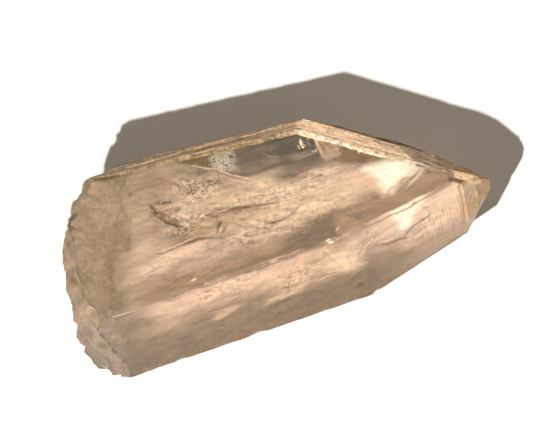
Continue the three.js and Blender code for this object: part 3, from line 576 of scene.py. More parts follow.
def face_axes(normal):
    """Two unit directions in a face: the long axis laid into the face, and the one square to it."""
    along = unit(np.array([1.0, 0, 0]) - normal[0] * normal)
    return along, np.cross(normal, along)


def on_face(name, x, v, depth):
    """Points at x along and v across a natural face, a depth under it, mm."""
    turn, lean, out = NATURAL_FACES[name]
    normal = face_normal(turn, lean)
    along, across = face_axes(normal)
    x, v, depth = (np.asarray(a, float)[..., None] for a in np.broadcast_arrays(x, v, depth))
    return normal * (out - depth) + along * x + across * v


def grain(size):
    """The scale that gives a noise node on metres a grain of this size in mm."""
    return 1 / (size * MM)


def to_frame(points):
    """Moves points from the axis's centre in mm to the part's frame in metres."""
    return (np.asarray(points, float) - OUTLINE_MIDDLE) * MM


def ripple(points, scale, seed, octaves=3):
    """Smooth noise of about unit height: sine waves in seeded directions, each octave twice as fine and
    half as high as the one before."""
    rng = np.random.default_rng(seed)
    total = np.zeros(len(points))
    for octave in range(octaves):
        waves = unit(rng.normal(size=(7, 3))) * (2 * math.pi / scale) * 2 ** octave
        phases = rng.uniform(0, 2 * math.pi, 7)
        total += np.sin(points @ waves.T + phases).mean(axis=1) / 2 ** octave
    return total * 3.3


def grid_quads(index, following):
    """Quads on a grid of point numbers: each point, the next row's, that one's following one and its
    own."""
    return np.stack([index[:-1], index[1:], following[1:], following[:-1]], axis=-1).reshape(-1, 4)


def add_mesh(name, points, faces, material, smooth=True):
    """Makes a mesh object from points in metres and lists of face corners."""
    mesh = bpy.data.meshes.new(name)
    mesh.from_pydata(np.asarray(points).tolist(), [], faces)
    mesh.polygons.foreach_set("use_smooth", np.full(len(mesh.polygons), smooth))
    mesh.materials.append(material)
    mesh.update()
    piece = bpy.data.objects.new(name, mesh)
    bpy.context.scene.collection.objects.link(piece)
    return piece


def mark(piece, name, values):
    """Stores a number, or a row of red, green, blue and 1, for each of a piece's points."""
    kind, field = ("FLOAT", "value") if values.ndim == 1 else ("FLOAT_COLOR", "color")
    piece.data.attributes.new(name, kind, "POINT").data.foreach_set(field, values.ravel())


def node(tree, kind, settings=None, out=0, **links):
    """Adds a node and gives the output asked for. Settings are its own properties and socket defaults,
    and links join other nodes' outputs to its inputs, i2 being the input with that number."""
    made = tree.nodes.new("ShaderNode" + kind)
    for key, value in (settings or {}).items():
        if isinstance(key, str) and hasattr(made, key):
            setattr(made, key, value)
        else:
            made.inputs[key].default_value = value
    for key, source in links.items():
        slot = int(key[1:]) if key[0] == "i" and key[1:].isdigit() else key.replace("_", " ")
        tree.links.new(source, made.inputs[slot])
    return made.outputs[out] if made.outputs else None


def new_material(name):
    """An empty node material, and node bound to its tree."""
    material = bpy.data.materials.new(name)
    material.use_nodes = True
    material.node_tree.nodes.clear()
    return material, partial(node, material.node_tree)


# --- The crystal's outer shape ------------------------------------------------------------------------------
def all_planes():
    """Names, outward directions and distances of every natural face and every cut of the break."""
    names = list(NATURAL_FACES) + list(BREAK_CUTS)
    normals = [face_normal(turn, lean) for turn, lean, _ in NATURAL_FACES.values()]
    normals += [unit(direction) for direction, _ in BREAK_CUTS.values()]
    outs = [out for _, _, out in NATURAL_FACES.values()] + [out for _, out in BREAK_CUTS.values()]
    return names, np.array(normals), np.array(outs)


def corner_points(normals, outs):
    """Corners of the solid that all planes enclose: each three planes meet in a point, kept if it's
    outside none."""
    count = len(outs)
    triples = np.array([(i, j, k) for i in range(count) for j in range(i) for k in range(j)])
    systems = normals[triples]
    solid = np.abs(np.linalg.det(systems)) > 1e-6
    points = np.linalg.solve(systems[solid], outs[triples][solid][..., None])[..., 0]
    inside = (points @ normals.T <= outs + 1e-6).all(axis=1)
    return np.unique(np.round(points[inside], 6), axis=0)


def face_patch(corners, normal, spacing, side_spacing):
    """One flat face as a grid: along its outline, and inwards along straight lines to its middle.

    Point = middle + s (outline point - middle), with s running from 0 at the middle to 1 at the outline,
    in steps of about the spacing and with extra rings close to the outline, where the edge is rounded.
    The steps along each side come from side_spacing, so that the two faces at an edge share its points."""
    middle = corners.mean(axis=0)
    across = unit(corners[0] - middle)
    along = np.cross(normal, across)
    angles = np.arctan2((corners - middle) @ along, (corners - middle) @ across)
    ring = corners[np.argsort(angles)]
    outline = []
    for start, end in zip(ring, np.roll(ring, -1, axis=0)):
        forwards = tuple(start) < tuple(end)
        first, last = (start, end) if forwards else (end, start)
        steps = max(2, int(np.linalg.norm(end - start) / side_spacing((start + end) / 2)))
        side = first + (last - first) * np.linspace(0, 1, steps + 1)[:, None]
        outline.append(side[:-1] if forwards else side[::-1][:-1])
    outline = np.concatenate(outline)
    depth = np.linalg.norm(outline - middle, axis=1).mean()
    inner = np.linspace(0, 1, max(4, int(depth / spacing)) + 1)[1:]
    close = 1 - np.array(EDGE_RINGS) / depth
    s = np.unique(np.concatenate([inner[inner < close.min() - 0.3 * spacing / depth], close, [1.0]]))
    grid = middle + s[:, None, None] * (outline - middle)[None]
    grid[-1] = outline
    points = np.concatenate([[middle], grid.reshape(-1, 3)])
    index = 1 + np.arange(len(s) * len(outline)).reshape(len(s), -1)
    following = np.roll(index, -1, axis=1)
    fan = np.stack([0 * index[0], index[0], following[0]], axis=-1)
    return points, fan, grid_quads(index, following)


def bowl_list(normals, outs, names):
    """Every hollow and chip as (centre, matrix, radius): the matrix turns a point into a ball's own
    space."""
    bowls = []
    for cut, y, z, radius, bite, stretch, spin in BREAK_HOLLOWS:
        away = normals[names.index(cut)]
        spot = np.array([(outs[names.index(cut)] - away[1] * y - away[2] * z) / away[0], y, z])
        turn = Vector((0, 0, 1)).rotation_difference(Vector(away)).to_matrix()
        turn = np.array(turn @ Matrix.Rotation(math.radians(spin), 3, "Z"))
        bowls.append((spot + away * (radius - bite), np.diag([1 / stretch, stretch, 1]) @ turn.T, radius))
    for face, x, v, radius, bite, stretch, spin in FACE_CHIPS:
        away = normals[names.index(face)]
        long, _ = turned(*face_axes(away), -spin)
        squash = np.diag([1 / stretch, stretch, 1]) @ np.array([long, np.cross(away, long), away])
        bowls.append((on_face(face, x, v, 0) + away * (radius - bite), squash, radius))
    for spot, away, radius, bite in EDGE_CHIPS:
        bowls.append((np.array(spot) + unit(away) * (radius - bite), np.eye(3), radius))
    return bowls


def nicks(corners, normals, outs, count, seed):
    """Tiny worn nicks at seeded places along the sharp edges, as balls in the form of bowl_list."""
    rng = np.random.default_rng(seed)
    on_plane = np.abs(corners @ normals.T - outs) < SAME_PLANE
    shared = (on_plane[:, None, :] & on_plane[None, :, :]).sum(axis=2)
    starts, ends = np.nonzero(np.triu(shared >= 2, 1))
    lengths = np.linalg.norm(corners[starts] - corners[ends], axis=1)
    chosen = rng.choice(len(starts), count, p=lengths / lengths.sum())
    t = rng.uniform(0.02, 0.98, count)[:, None]
    spots = corners[starts[chosen]] * (1 - t) + corners[ends[chosen]] * t
    both = on_plane[starts[chosen]] & on_plane[ends[chosen]]
    away = unit((both[:, :, None] * normals[None]).sum(axis=1))
    radii = rng.uniform(0.5, 1.3, count)
    bites = radii * rng.uniform(0.1, 0.3, count)
    keep = spots[:, 2] > NICKS_ABOVE
    centres = spots + away * (radii - bites)[:, None]
    return [(c, np.eye(3), r) for c, r in zip(centres[keep], radii[keep])]


def growth_relief(points, name):
    """How far a face lies under its plane, mm: steps square to the axis, each falling slowly and then
    rising at once, and a slow waviness along the axis."""
    x = points[:, 0]
    sink = np.zeros(len(x)) if name == "resting" else 0.012 * np.clip(1 + ripple(points, 6.0, 11), 0, None)
    if name in STREAKED:
        sink = sink + 0.014 * np.clip(1 + ripple(points * [0.16, 1.0, 1.0], 2.0, 12), 0, None)
    for face, start, pitch, count, depth in GROWTH_STEPS:
        if face == name:
            place = (x - start) / pitch
            inside = (place > 0) & (place < count)
            saw = np.clip(np.mod(place, 1) / 0.8, 0, None)
            saw = np.where(saw > 1, (1.25 - saw) / 0.25, saw)
            sink = sink + np.where(inside, depth * saw, 0)
    return sink


def outside_by(points, planes, reliefs, bowls, worn):
    """How far points lie outside the crystal, mm: a soft maximum over the faces, which rounds the edges,
    then a hard one with every hollow. A large hollow of the break has fine roughness and rings round a
    spot near its rim, as shell-shaped breaks have: height x sin(2 pi distance / pitch)."""
    _, normals, outs = planes
    over = points @ normals.T - outs + reliefs
    top = over.max(axis=1, keepdims=True)
    value = (top + worn * np.log(np.exp((over - top) / worn).sum(axis=1, keepdims=True)))[:, 0]
    for centre, matrix, radius, near in bowls:
        local = (points[near] - centre) @ matrix.T
        depth = radius - np.linalg.norm(local, axis=1)
        if radius > SHELL_RADIUS:
            from_blow = np.hypot(local[:, 0] - BLOW_PLACE * radius, local[:, 1])
            depth = (depth - RING_HEIGHT * np.sin(from_blow * 2 * math.pi / RING_PITCH)
                     - RING_HEIGHT * ripple(local, 1.5, 41, 2))
        value[near] = np.maximum(value[near], depth)
    return value


def skin(planes, centre, spacing, reliefs_of, bowls, worn):
    """The whole surface of a solid: every face as a patch, then each point slid along its line to the
    centre until it lies on the rounded, stepped and chipped surface, which halving the way again and
    again finds. Also says which plane each point belongs to."""
    names, normals, outs = planes
    outs = outs - normals @ centre
    corners = corner_points(normals, outs)
    fineness = np.array([FINENESS.get(name, 0.7 if name in BREAK_CUTS else 1.0) for name in names])

    def side_spacing(middle):
        """The spacing along an edge: that of the finer of the faces that meet there."""
        return spacing * fineness[np.abs(normals @ middle - outs) < SAME_PLANE].min()

    points, fans, quads, start = [], [], [], 0
    for fine, normal, out in zip(fineness, normals, outs):
        own = corners[np.abs(corners @ normal - out) < SAME_PLANE]
        if len(own) < 3:
            continue
        patch, fan, grid = face_patch(own, normal, spacing * fine, side_spacing)
        points.append(patch)
        fans.append(fan + start)
        quads.append(grid + start)
        start += len(patch)
    points = np.concatenate(points)
    _, first, back = np.unique(np.round(points, 4), axis=0, return_index=True, return_inverse=True)
    points, back = points[first], back.ravel()
    faces = back[np.concatenate(fans)].tolist() + back[np.concatenate(quads)].tolist()
    nearest = np.argmax(points @ normals.T - outs, axis=1)
    reach = np.linalg.norm(points, axis=1)
    rays = points / reach[:, None]
    near = [(c - centre, m, r, np.nonzero(np.linalg.norm(points + centre - c, axis=1) < r * 1.6 + 1.5)[0])
            for c, m, r in bowls]
    near = [b for b in near if len(b[3])]
    reliefs = reliefs_of(points + centre, names)
    low, high = reach * SEARCH_FROM, reach
    for _ in range(HALVINGS):
        middle = (low + high) / 2
        out = outside_by(rays * middle[:, None], (names, normals, outs), reliefs, near, worn) > 0
        high, low = np.where(out, middle, high), np.where(out, low, middle)
    return centre + rays * low[:, None], faces, nearest


def break_relief(points):
    """How far the break lies under its flat cuts, mm: a mean depth with coarse and fine roughness."""
    return np.clip(0.45 + 0.25 * ripple(points, 4.0, 5) + 0.05 * ripple(points, 1.3, 6, 2), 0, None)


def body_reliefs(points, names):
    """How far the body's surface lies under each plane, mm: growth relief on the natural faces, break
    relief on the break."""
    rough = break_relief(points)
    return np.stack([growth_relief(points, n) if n in NATURAL_FACES else rough for n in names], axis=1)


def cloud_reliefs(points, names):
    """How far the cloud's surface lies under each of its planes, mm: broad lumps with finer ones on
    them, and behind the break the break's own relief."""
    lumps = np.clip(0.25 + 0.1 * ripple(points, 4.5, 21) + 0.02 * ripple(points, 1.2, 22), 0, None)
    rough = break_relief(points)
    return np.stack([rough if n in BREAK_CUTS else lumps for n in names], axis=1)


# --- What is sealed in the crystal --------------------------------------------------------------------------
def veil_surface(veil, spacing):
    """A thin sheet under a face, as a grid of x and v, turned in the face where the veil says so. Its
    depth is the veil's own, plus broad waves, wisps drawn out along the crystal and fine crumples.
    Shelves add the height of a step less (rise along x + rise across v), folded back to 0 at each step,
    so that every step lies level. Also gives a fade to 0 at the sheet's rim and close to any other face."""
    (x0, x1), (v0, v1), seed = veil["x"], veil["v"], veil["seed"]
    rows = int((x1 - x0) / veil.get("along", spacing)) + 1
    columns = int((v1 - v0) / veil.get("across", spacing)) + 1
    grid = np.meshgrid(np.linspace(x0, x1, rows), np.linspace(v0, v1, columns), indexing="ij")
    s, t = grid[0].ravel(), grid[1].ravel()
    rim = np.minimum(np.minimum(s - x0, x1 - s), np.minimum(t - v0, v1 - t))
    x, v = turned(s, t, veil.get("turn", 0))
    long, wide = turned(x, v, -WISP_TURN)
    flat, drawn = level(x, v), level(long, WISP_STRETCH * wide)
    broad, wisp, fine = veil["waves"]
    depth = (veil["depth"] + broad * ripple(flat, 9.0, seed, 2) + wisp * ripple(drawn, 5.0, seed + 1)
             + fine * ripple(drawn, 1.6, seed + 2, 2))
    if "shelves" in veil:
        along, across, step = veil["shelves"]
        waver = 0.4 * ripple(flat * [0.2, 1, 1], 6.0, seed + 3)
        depth = depth + np.mod(-(along * x + across * v) + waver, step)
    points = on_face(veil["face"], x, v, depth)
    names, normals, outs = all_planes()
    others = [number for number, name in enumerate(names) if name != veil["face"]]
    room = (outs[others] - points @ normals[others].T).min(axis=1)
    fade = np.clip(rim / RIM_FADE, 0, 1) * np.clip((room - veil.get("shy", 0.1)) / FACE_FADE, 0, 1)
    index = np.arange(rows * columns).reshape(rows, columns)
    return x, v, fade, keep_inside(points, VEIL_MARGIN), grid_quads(index[:, :-1], index[:, 1:])


def keep_inside(points, margin):
    """Pushes points that lie less than the margin under a face straight back from it, face after face."""
    _, normals, outs = all_planes()
    for _ in range(3):
        for normal, out in zip(normals, outs):
            points = points - np.clip(points @ normal - out + margin, 0, None)[:, None] * normal
    return points


def in_ellipse(x, v, at_x, at_v, long, wide, turn):
    """(u / long)^2 + (w / wide)^2, with u and w measured along and across an ellipse turned by turn
    degrees."""
    u, w = turned(x - at_x, v - at_v, -turn)
    return (u / long) ** 2 + (w / wide) ** 2


def to_segment(x, v, start, end):
    """Distance of points to the straight line from start to end, and how far along it the nearest place
    lies."""
    (x0, v0), (x1, v1) = start, end
    long, high = x1 - x0, v1 - v0
    t = np.clip(((x - x0) * long + (v - v0) * high) / (long * long + high * high), 0, 1)
    return np.hypot(x - x0 - t * long, v - v0 - t * high), t


def in_patch(x, v, corners, edge):
    """1 inside a many-cornered area and 0 outside, with a ramp of the given width across its edge. A
    point is inside when a line from it towards larger v crosses the edge an odd number of times."""
    near, inside = np.full(len(x), np.inf), np.zeros(len(x), bool)
    for start, end in zip(corners, corners[1:] + corners[:1]):
        near = np.minimum(near, to_segment(x, v, start, end)[0])
        (x0, v0), (x1, v1) = start, end
        if x0 != x1:
            inside ^= ((x0 > x) != (x1 > x)) & (v < v0 + (v1 - v0) * (x - x0) / (x1 - x0))
    return np.clip(0.5 + np.where(inside, near, -near) / edge, 0, 1)


def on_line(x, v, corners, half):
    """1 on a thin stroke and 0 beside it: its half width swells from a third at the ends to full in the
    middle."""
    laid, pieces = np.zeros(len(x)), len(corners) - 1
    for number in range(pieces):
        away, t = to_segment(x, v, corners[number], corners[number + 1])
        place = (number + t) / pieces
        swell = half * (0.35 + 0.65 * np.sqrt(np.clip(4 * place * (1 - place), 0, 1)))
        laid = np.maximum(laid, np.exp(-(away / swell) ** 2 * 0.9))
    return laid


def cover_of(veil, x, v):
    """How much of the light each point of a veil stops, its colour and how speckled it is. Spots fade as
    exp(-q^1.4), q being their ellipse's value, and are laid in warped coordinates, so that no edge is
    smooth."""
    flat, push, seed = level(x, v), veil["warp"], veil["seed"]
    drawn = flat * [0.3, 1.0, 1.0]
    warped = x + 2 * push * ripple(drawn, 2.6, seed + 5), v + push * ripple(drawn, 2.2, seed + 7)
    near = x + 0.035 * ripple(flat, 1.4, seed + 8, 2), v + 0.035 * ripple(flat, 1.4, seed + 9, 2)
    layers = [(colour, strength * np.exp(-in_ellipse(*warped, *place) ** 1.4))
              for colour, *place, strength in veil["spots"]]
    for kind, laid_by in (("patches", in_patch), ("lines", on_line)):
        layers += [(colour, strength * laid_by(*near, list(zip(ends[::2], ends[1::2])), width))
                   for colour, strength, width, *ends in veil.get(kind, [])]
    tint, cover = np.zeros((len(x), 3)), np.zeros(len(x))
    for colour, laid in layers:
        tint, cover = tint * (1 - laid)[:, None], cover * (1 - laid)
        if colour != "clear":
            tint, cover = tint + np.array(hex_linear(TINTS[colour])) * laid[:, None], cover + laid
    speckled = np.full(len(x), 0.25)
    for strength, *place in veil["specks"]:
        speckled = np.maximum(speckled, strength * np.exp(-in_ellipse(*warped, *place) ** 1.4))
    return cover, tint / np.maximum(cover, 1e-4)[:, None], speckled


def flakes(groups, seed):
    """Tiny flat flakes, each a squashed eight-sided double pyramid turned at random, scattered round the
    middle of each group with a normal spread along, across and in depth."""
    rng = np.random.default_rng(seed)
    unit_points = np.array([(1, 0, 0), (0, 1, 0), (-1, 0, 0), (0, -1, 0), (0, 0, 0.16), (0, 0, -0.16)])
    unit_faces = np.array([
        (0, 1, 4), (1, 2, 4), (2, 3, 4), (3, 0, 4), (1, 0, 5), (2, 1, 5), (3, 2, 5), (0, 3, 5)])
    clouds = []
    for face, x, v, depth, long, wide, thick, turn, count, size in groups:
        u, w, d = rng.normal(size=(3, count)) * np.array([[long], [wide], [thick]]) * 0.6
        u, w = turned(u, w, turn)
        place = on_face(face, x + u, v + w, np.maximum(depth + d, FLAKE_DEPTH))
        a, b = unit(rng.normal(size=(count, 3))), unit(rng.normal(size=(count, 3)))
        third = unit(np.cross(a, b))
        axes = np.stack([a, np.cross(third, a), third], axis=1)
        grown = size * rng.lognormal(0, 0.35, (count, 1, 1))
        shape = unit_points * rng.uniform(0.5, 1.0, (count, 1, 3))
        clouds.append(place[:, None, :] + np.einsum("nki,nij->nkj", shape * grown, axes))
    points = np.concatenate(clouds)
    faces = unit_faces[None] + len(unit_points) * np.arange(len(points))[:, None, None]
    return points.reshape(-1, 3), faces.reshape(-1, 3)


def crack(face, x, v, depth, long, wide, turn, tilt, bend, seed):
    """One small crack plane as a grid of radius r and angle a: u = long r cos a, w = wide r sin a with a
    ragged rim, tilted round its own length and bent into a shallow saucer of height bend r^2. Gives its
    points, its quads and the small many-cornered face in its middle."""
    rings, around = 14, 48
    r, a = np.meshgrid(np.linspace(0.02, 1, rings), np.linspace(0, 2 * math.pi, around, endpoint=False),
                       indexing="ij")
    r, a = r.ravel(), a.ravel()
    rim = 1 + 0.22 * ripple(level(np.cos(a), np.sin(a)), 1.3, seed)
    u, w = long * r * np.cos(a) * rim, wide * r * np.sin(a) * rim
    lift = bend * r ** 2 + 0.05 * ripple(level(u, 2.5 * w), 1.5, seed + 1)
    across, down = turned(w, lift, tilt)
    u, across = turned(u, across, turn)
    index = np.arange(rings * around).reshape(rings, around)
    quads = grid_quads(index, np.roll(index, -1, axis=1))
    return on_face(face, x + u, v + across, depth + down), quads, index[0]


# --- Materials ----------------------------------------------------------------------------------------------
def thin_strokes(add, noise, half, rest, rows):
    """Thin strokes where a smooth noise crosses set heights: one output for each row of height and
    strength, with the strength on the stroke and the rest value from the half width on."""
    made = []
    for height, strength in rows:
        away = add("Math", {"operation": "SUBTRACT", 1: height}, i0=noise)
        away = add("Math", {"operation": "ABSOLUTE"}, i0=away)
        made.append(add("MapRange", {"From Max": half, "To Min": strength, "To Max": rest}, Value=away))
    return made


def rock_crystal(settings):
    """Quartz with glassy growth faces and a dull broken base: clear, faintly warm by its depth, stained
    amber by iron at the point."""
    material, add = new_material("rock_crystal_natural_faces")
    where = add("TexCoord", out="Object")
    dusty, stain, striated = (add("Attribute", {"attribute_name": name}, out="Fac")
                              for name in ("dusty", "stain", "striated"))
    smear = add("TexNoise", {"Scale": grain(3.0), "Detail": 4}, Vector=where)
    gloss = add("MapRange", {"From Min": 0.4, "From Max": 0.75, "To Min": 0.0, "To Max": 0.04}, Value=smear)
    frost = add("TexNoise", {"Scale": grain(2.4), "Detail": 6, "Roughness": 0.65, "Distortion": 0.5},
                Vector=where)
    frost = add("MapRange", {"From Min": 0.36, "From Max": 0.66}, Value=frost)
    ground = add("MapRange", {"To Min": 0.3, "To Max": 0.6}, Value=frost)
    rough = add("Mix", {"data_type": "FLOAT"}, i0=dusty, i2=gloss, i3=ground)
    clean = add("MapRange", {"To Min": 1.0, "To Max": 0.22}, Value=dusty)
    broken = add("Mix", {"data_type": "RGBA", 6: (*settings.break_colour, 1), 7: (*settings.frost_colour, 1)},
                 out=2, i0=frost)
    # The break's colour is scaled by height: darker towards the bottom.
    height = add("SeparateXYZ", Vector=where, out="Z")
    by_height = add("MapRange", {"From Min": 4 * MM, "From Max": 21 * MM, "To Min": 0.56, "To Max": 0.92},
                 Value=height)
    broken = add("VectorMath", {"operation": "SCALE"}, i0=broken, Scale=by_height)
    bare = add("Mix", {"data_type": "RGBA", 6: (*hex_linear("FBF6F0"), 1)}, out=2, i0=dusty, i7=broken)
    colour = add("Mix", {"data_type": "RGBA", 7: (*settings.stain_colour, 1)}, out=2, i0=stain, i6=bare)
    # The steps of a striated face are too fine to mesh. Their treads look up, so it's shaded as if it leaned.
    drawn = add("Mapping", {"Scale": (0.12, 1.0, 1.0)}, Vector=where)
    treads = add("TexNoise", {"Scale": grain(1.6), "Detail": 3}, Vector=drawn)
    lean = add("MapRange", {"From Min": 0.3, "From Max": 0.7, "To Min": 0.5, "To Max": 1.1}, Value=treads)
    lean = add("Math", {"operation": "MULTIPLY"}, i0=lean, i1=striated)
    back = add("NewGeometry", out="Backfacing")
    side = add("Math", {"operation": "MULTIPLY_ADD", 1: -2.0, 2: 1.0}, i0=back)
    lean = add("Math", {"operation": "MULTIPLY"}, i0=lean, i1=side)
    normal, upward = add("NewGeometry", out="Normal"), add("CombineXYZ", Z=lean)
    facing = add("VectorMath", {"operation": "ADD"}, i0=normal, i1=upward)
    facing = add("VectorMath", {"operation": "NORMALIZE"}, i0=facing)
    shader = add("BsdfPrincipled", {"IOR": 1.544},
                 Roughness=rough, Base_Color=colour, Transmission_Weight=clean, Normal=facing)
    depth = add("VolumeAbsorption", {"Color": (*settings.depth_colour, 1), "Density": settings.depth_density})
    add("OutputMaterial", Surface=shader, Volume=depth)
    return material


def veil_haze_and_painted_light():
    """Haze of microscopic fluid specks on healed cracks: dull, milky and crumpled, in places with pale
    and dark grit of half a millimetre and with feathers, thin dark strokes with a pale one beside each. The
    tints of some veils on it are painted highlights and painted shade."""
    material, add = new_material("fluid_speck_veil_and_painted_light")
    where = add("TexCoord", out="Object")
    cover, speckled = (add("Attribute", {"attribute_name": name}, out="Fac")
                       for name in ("cover", "speckled"))
    tint = add("Attribute", {"attribute_name": "tint"}, out="Color")
    drawn = add("Mapping", {"Scale": (0.3, 1.0, 1.0)}, Vector=where)
    fleck = add("TexNoise", {"Scale": grain(1.3), "Detail": 6, "Roughness": 0.6}, Vector=drawn)
    patchy = add("MapRange", {"From Min": 0.34, "From Max": 0.62, "To Min": 0.8, "To Max": 1.1}, Value=fleck)
    alpha = add("Math", {"operation": "MULTIPLY", "use_clamp": True}, i0=cover, i1=patchy)
    grit = add("TexNoise", {"Scale": grain(0.62), "Detail": 4, "Roughness": 0.7, "Distortion": 0.4},
               Vector=where)
    swing = add("MapRange", {"From Min": 0.3, "From Max": 0.7, "To Min": -0.95, "To Max": 0.95}, Value=grit)
    gritty = add("Math", {"operation": "POWER", 1: 2.5}, i0=speckled)
    swing = add("Math", {"operation": "MULTIPLY_ADD", 2: 1.0}, i0=swing, i1=gritty)
    swept = add("Mapping", {"vector_type": "TEXTURE", "Rotation": (0.0, 0.0, math.radians(-13)),
                            "Scale": (4.5, 1.0, 1.0)}, Vector=where)
    feather = add("TexNoise", {"Scale": grain(1.9), "Detail": 3, "Roughness": 0.55, "Distortion": 0.5},
                  Vector=swept)
    for stroke in thin_strokes(add, feather, 0.032, 0.0, ((0.47, -0.5), (0.54, 0.4))):
        stroke = add("Math", {"operation": "MULTIPLY"}, i0=stroke, i1=speckled)
        swing = add("Math", {"operation": "ADD"}, i0=swing, i1=stroke)
    colour = add("VectorMath", {"operation": "SCALE"}, i0=tint, Scale=swing)
    crumple = add("Math", {"operation": "ADD"}, i0=fleck, i1=grit)
    relief = add("Bump", {"Strength": 0.7, "Distance": 0.12 * MM}, Height=crumple)
    shader = add("BsdfPrincipled", {"Roughness": 0.8, "Specular IOR Level": 0.2},
                 Base_Color=colour, Alpha=alpha, Normal=relief)
    add("OutputMaterial", Surface=shader)
    return material


def milky_quartz(settings):
    """Milky quartz by the break: crowded with cracks and bubbles, so it stops light and shows cloudy
    lumps with thin dark and pale strokes. It is thicker towards the back of the crystal."""
    material, add = new_material("milky_quartz_cloud")
    where = add("TexCoord", out="Object")
    lump = add("TexNoise", {"Scale": grain(3.2), "Detail": 6, "Roughness": 0.62, "Distortion": 0.6},
               Vector=where)
    shade = add("ValToRGB", Fac=lump)
    low, high = shade.node.color_ramp.elements
    low.position, low.color = 0.34, (*settings.cloud_dark, 1)
    high.position, high.color = 0.68, (*settings.cloud_light, 1)
    feather = add("TexNoise", {"Scale": grain(2.6), "Detail": 6, "Roughness": 0.68, "Distortion": 0.2},
                  Vector=where)
    dark, pale = thin_strokes(add, feather, 0.025, 1.0, ((0.46, 0.74), (0.53, 1.36)))
    swing = add("Math", {"operation": "MULTIPLY"}, i0=dark, i1=pale)
    across = add("SeparateXYZ", Vector=where, out="Y")
    thicker = add("MapRange", {"From Min": -12 * MM, "From Max": 12 * MM, "To Min": 0.82, "To Max": 1.2},
                  Value=across)
    swing = add("Math", {"operation": "MULTIPLY"}, i0=swing, i1=thicker)
    colour = add("VectorMath", {"operation": "SCALE"}, i0=shade, Scale=swing)
    fleck = add("TexNoise", {"Scale": grain(1.1), "Detail": 5, "Roughness": 0.6}, Vector=where)
    alpha = add("MapRange", {"From Min": 0.3, "From Max": 0.62, "To Min": 0.7, "To Max": 1.0}, Value=fleck)
    cover = add("Attribute", {"attribute_name": "cover"}, out="Fac")
    alpha = add("Math", {"operation": "MULTIPLY", "use_clamp": True}, i0=cover, i1=alpha)
    shader = add("BsdfPrincipled", {"Roughness": 0.7, "Specular IOR Level": 0.2},
                 Base_Color=colour, Alpha=alpha)
    add("OutputMaterial", Surface=shader)
    return material


def flake_glint(name, colour):
    """Flakes and bubbles under a fifth of a millimetre, which scatter light as tiny pale or dark points."""
    material, add = new_material(name)
    shader = add("BsdfPrincipled", {
        "Base Color": (*hex_linear(colour), 1), "Roughness": 0.35, "Specular IOR Level": 0.6})
    add("OutputMaterial", Surface=shader)
    return material


def crack_mirror():
    """An open crack: its air gap turns light back like a silvery mirror, clouded where it has healed."""
    material, add = new_material("air_gap_crack")
    healed = add("TexNoise", {"Scale": grain(0.9), "Detail": 4}, Vector=add("TexCoord", out="Object"))
    alpha = add("MapRange", {"From Min": 0.4, "From Max": 0.62, "To Min": 0.1, "To Max": 0.8}, Value=healed)
    shader = add("BsdfPrincipled", {
        "Base Color": (*hex_linear("BCA88C"), 1), "Metallic": 1.0, "Roughness": 0.42}, Alpha=alpha)
    add("OutputMaterial", Surface=shader)
    return material


def floor_paint(colour):
    """Plain matt paint, which shows the crystal's shadow and no reflection."""
    material, add = new_material("matt_pale_floor")
    shader = add("BsdfPrincipled", {"Base Color": (*colour, 1), "Roughness": 0.9, "Specular IOR Level": 0.2})
    add("OutputMaterial", Surface=shader)
    return material


# --- Settings -----------------------------------------------------------------------------------------------
class QuartzBodySettings(bpy.types.PropertyGroup):
    """Sizes and colours of the crystal itself."""
    spacing: bpy.props.FloatProperty(
        name="Spacing", description="Distance between surface points, mm", default=0.5, min=0.3)
    worn: bpy.props.FloatProperty(
        name="Edge wear", description="How softly edges are rounded, mm", default=0.035, min=0.005)
    nick_count: bpy.props.IntProperty(
        name="Nicks", description="Tiny chips along the edges", default=110, min=0)
    depth_colour: bpy.props.FloatVectorProperty(
        name="Depth colour", description="Light left after a long way through the crystal",
        subtype="COLOR", size=3, default=(0.88, 0.60, 0.20))
    depth_density: bpy.props.FloatProperty(
        name="Depth density", description="Absorption per metre", default=5.0, min=0.0)
    break_colour: bpy.props.FloatVectorProperty(
        name="Break", description="Colour of the dusty broken end", subtype="COLOR", size=3,
        default=hex_linear("7E664E"))
    frost_colour: bpy.props.FloatVectorProperty(
        name="Frost", description="Colour of the whiter, bruised parts of the break", subtype="COLOR", size=3,
        default=hex_linear("A89277"))
    stain_colour: bpy.props.FloatVectorProperty(
        name="Iron stain", description="Colour of the stained point", subtype="COLOR", size=3,
        default=hex_linear("F0D496"))


class QuartzInsideSettings(bpy.types.PropertyGroup):
    """Sizes and colours of what is sealed in the crystal."""
    veil_spacing: bpy.props.FloatProperty(
        name="Veil spacing", description="Distance between a veil's points, mm", default=0.14, min=0.1)
    cloud_depth: bpy.props.FloatProperty(
        name="Cloud depth", description="How far the cloud stays under the surface, mm", default=0.5, min=0.3)
    cloud_light: bpy.props.FloatVectorProperty(
        name="Cloud light", description="Paler lumps of the cloud", subtype="COLOR", size=3,
        default=hex_linear("A8937B"))
    cloud_dark: bpy.props.FloatVectorProperty(
        name="Cloud dark", description="Darker lumps of the cloud", subtype="COLOR", size=3,
        default=hex_linear("8B7762"))


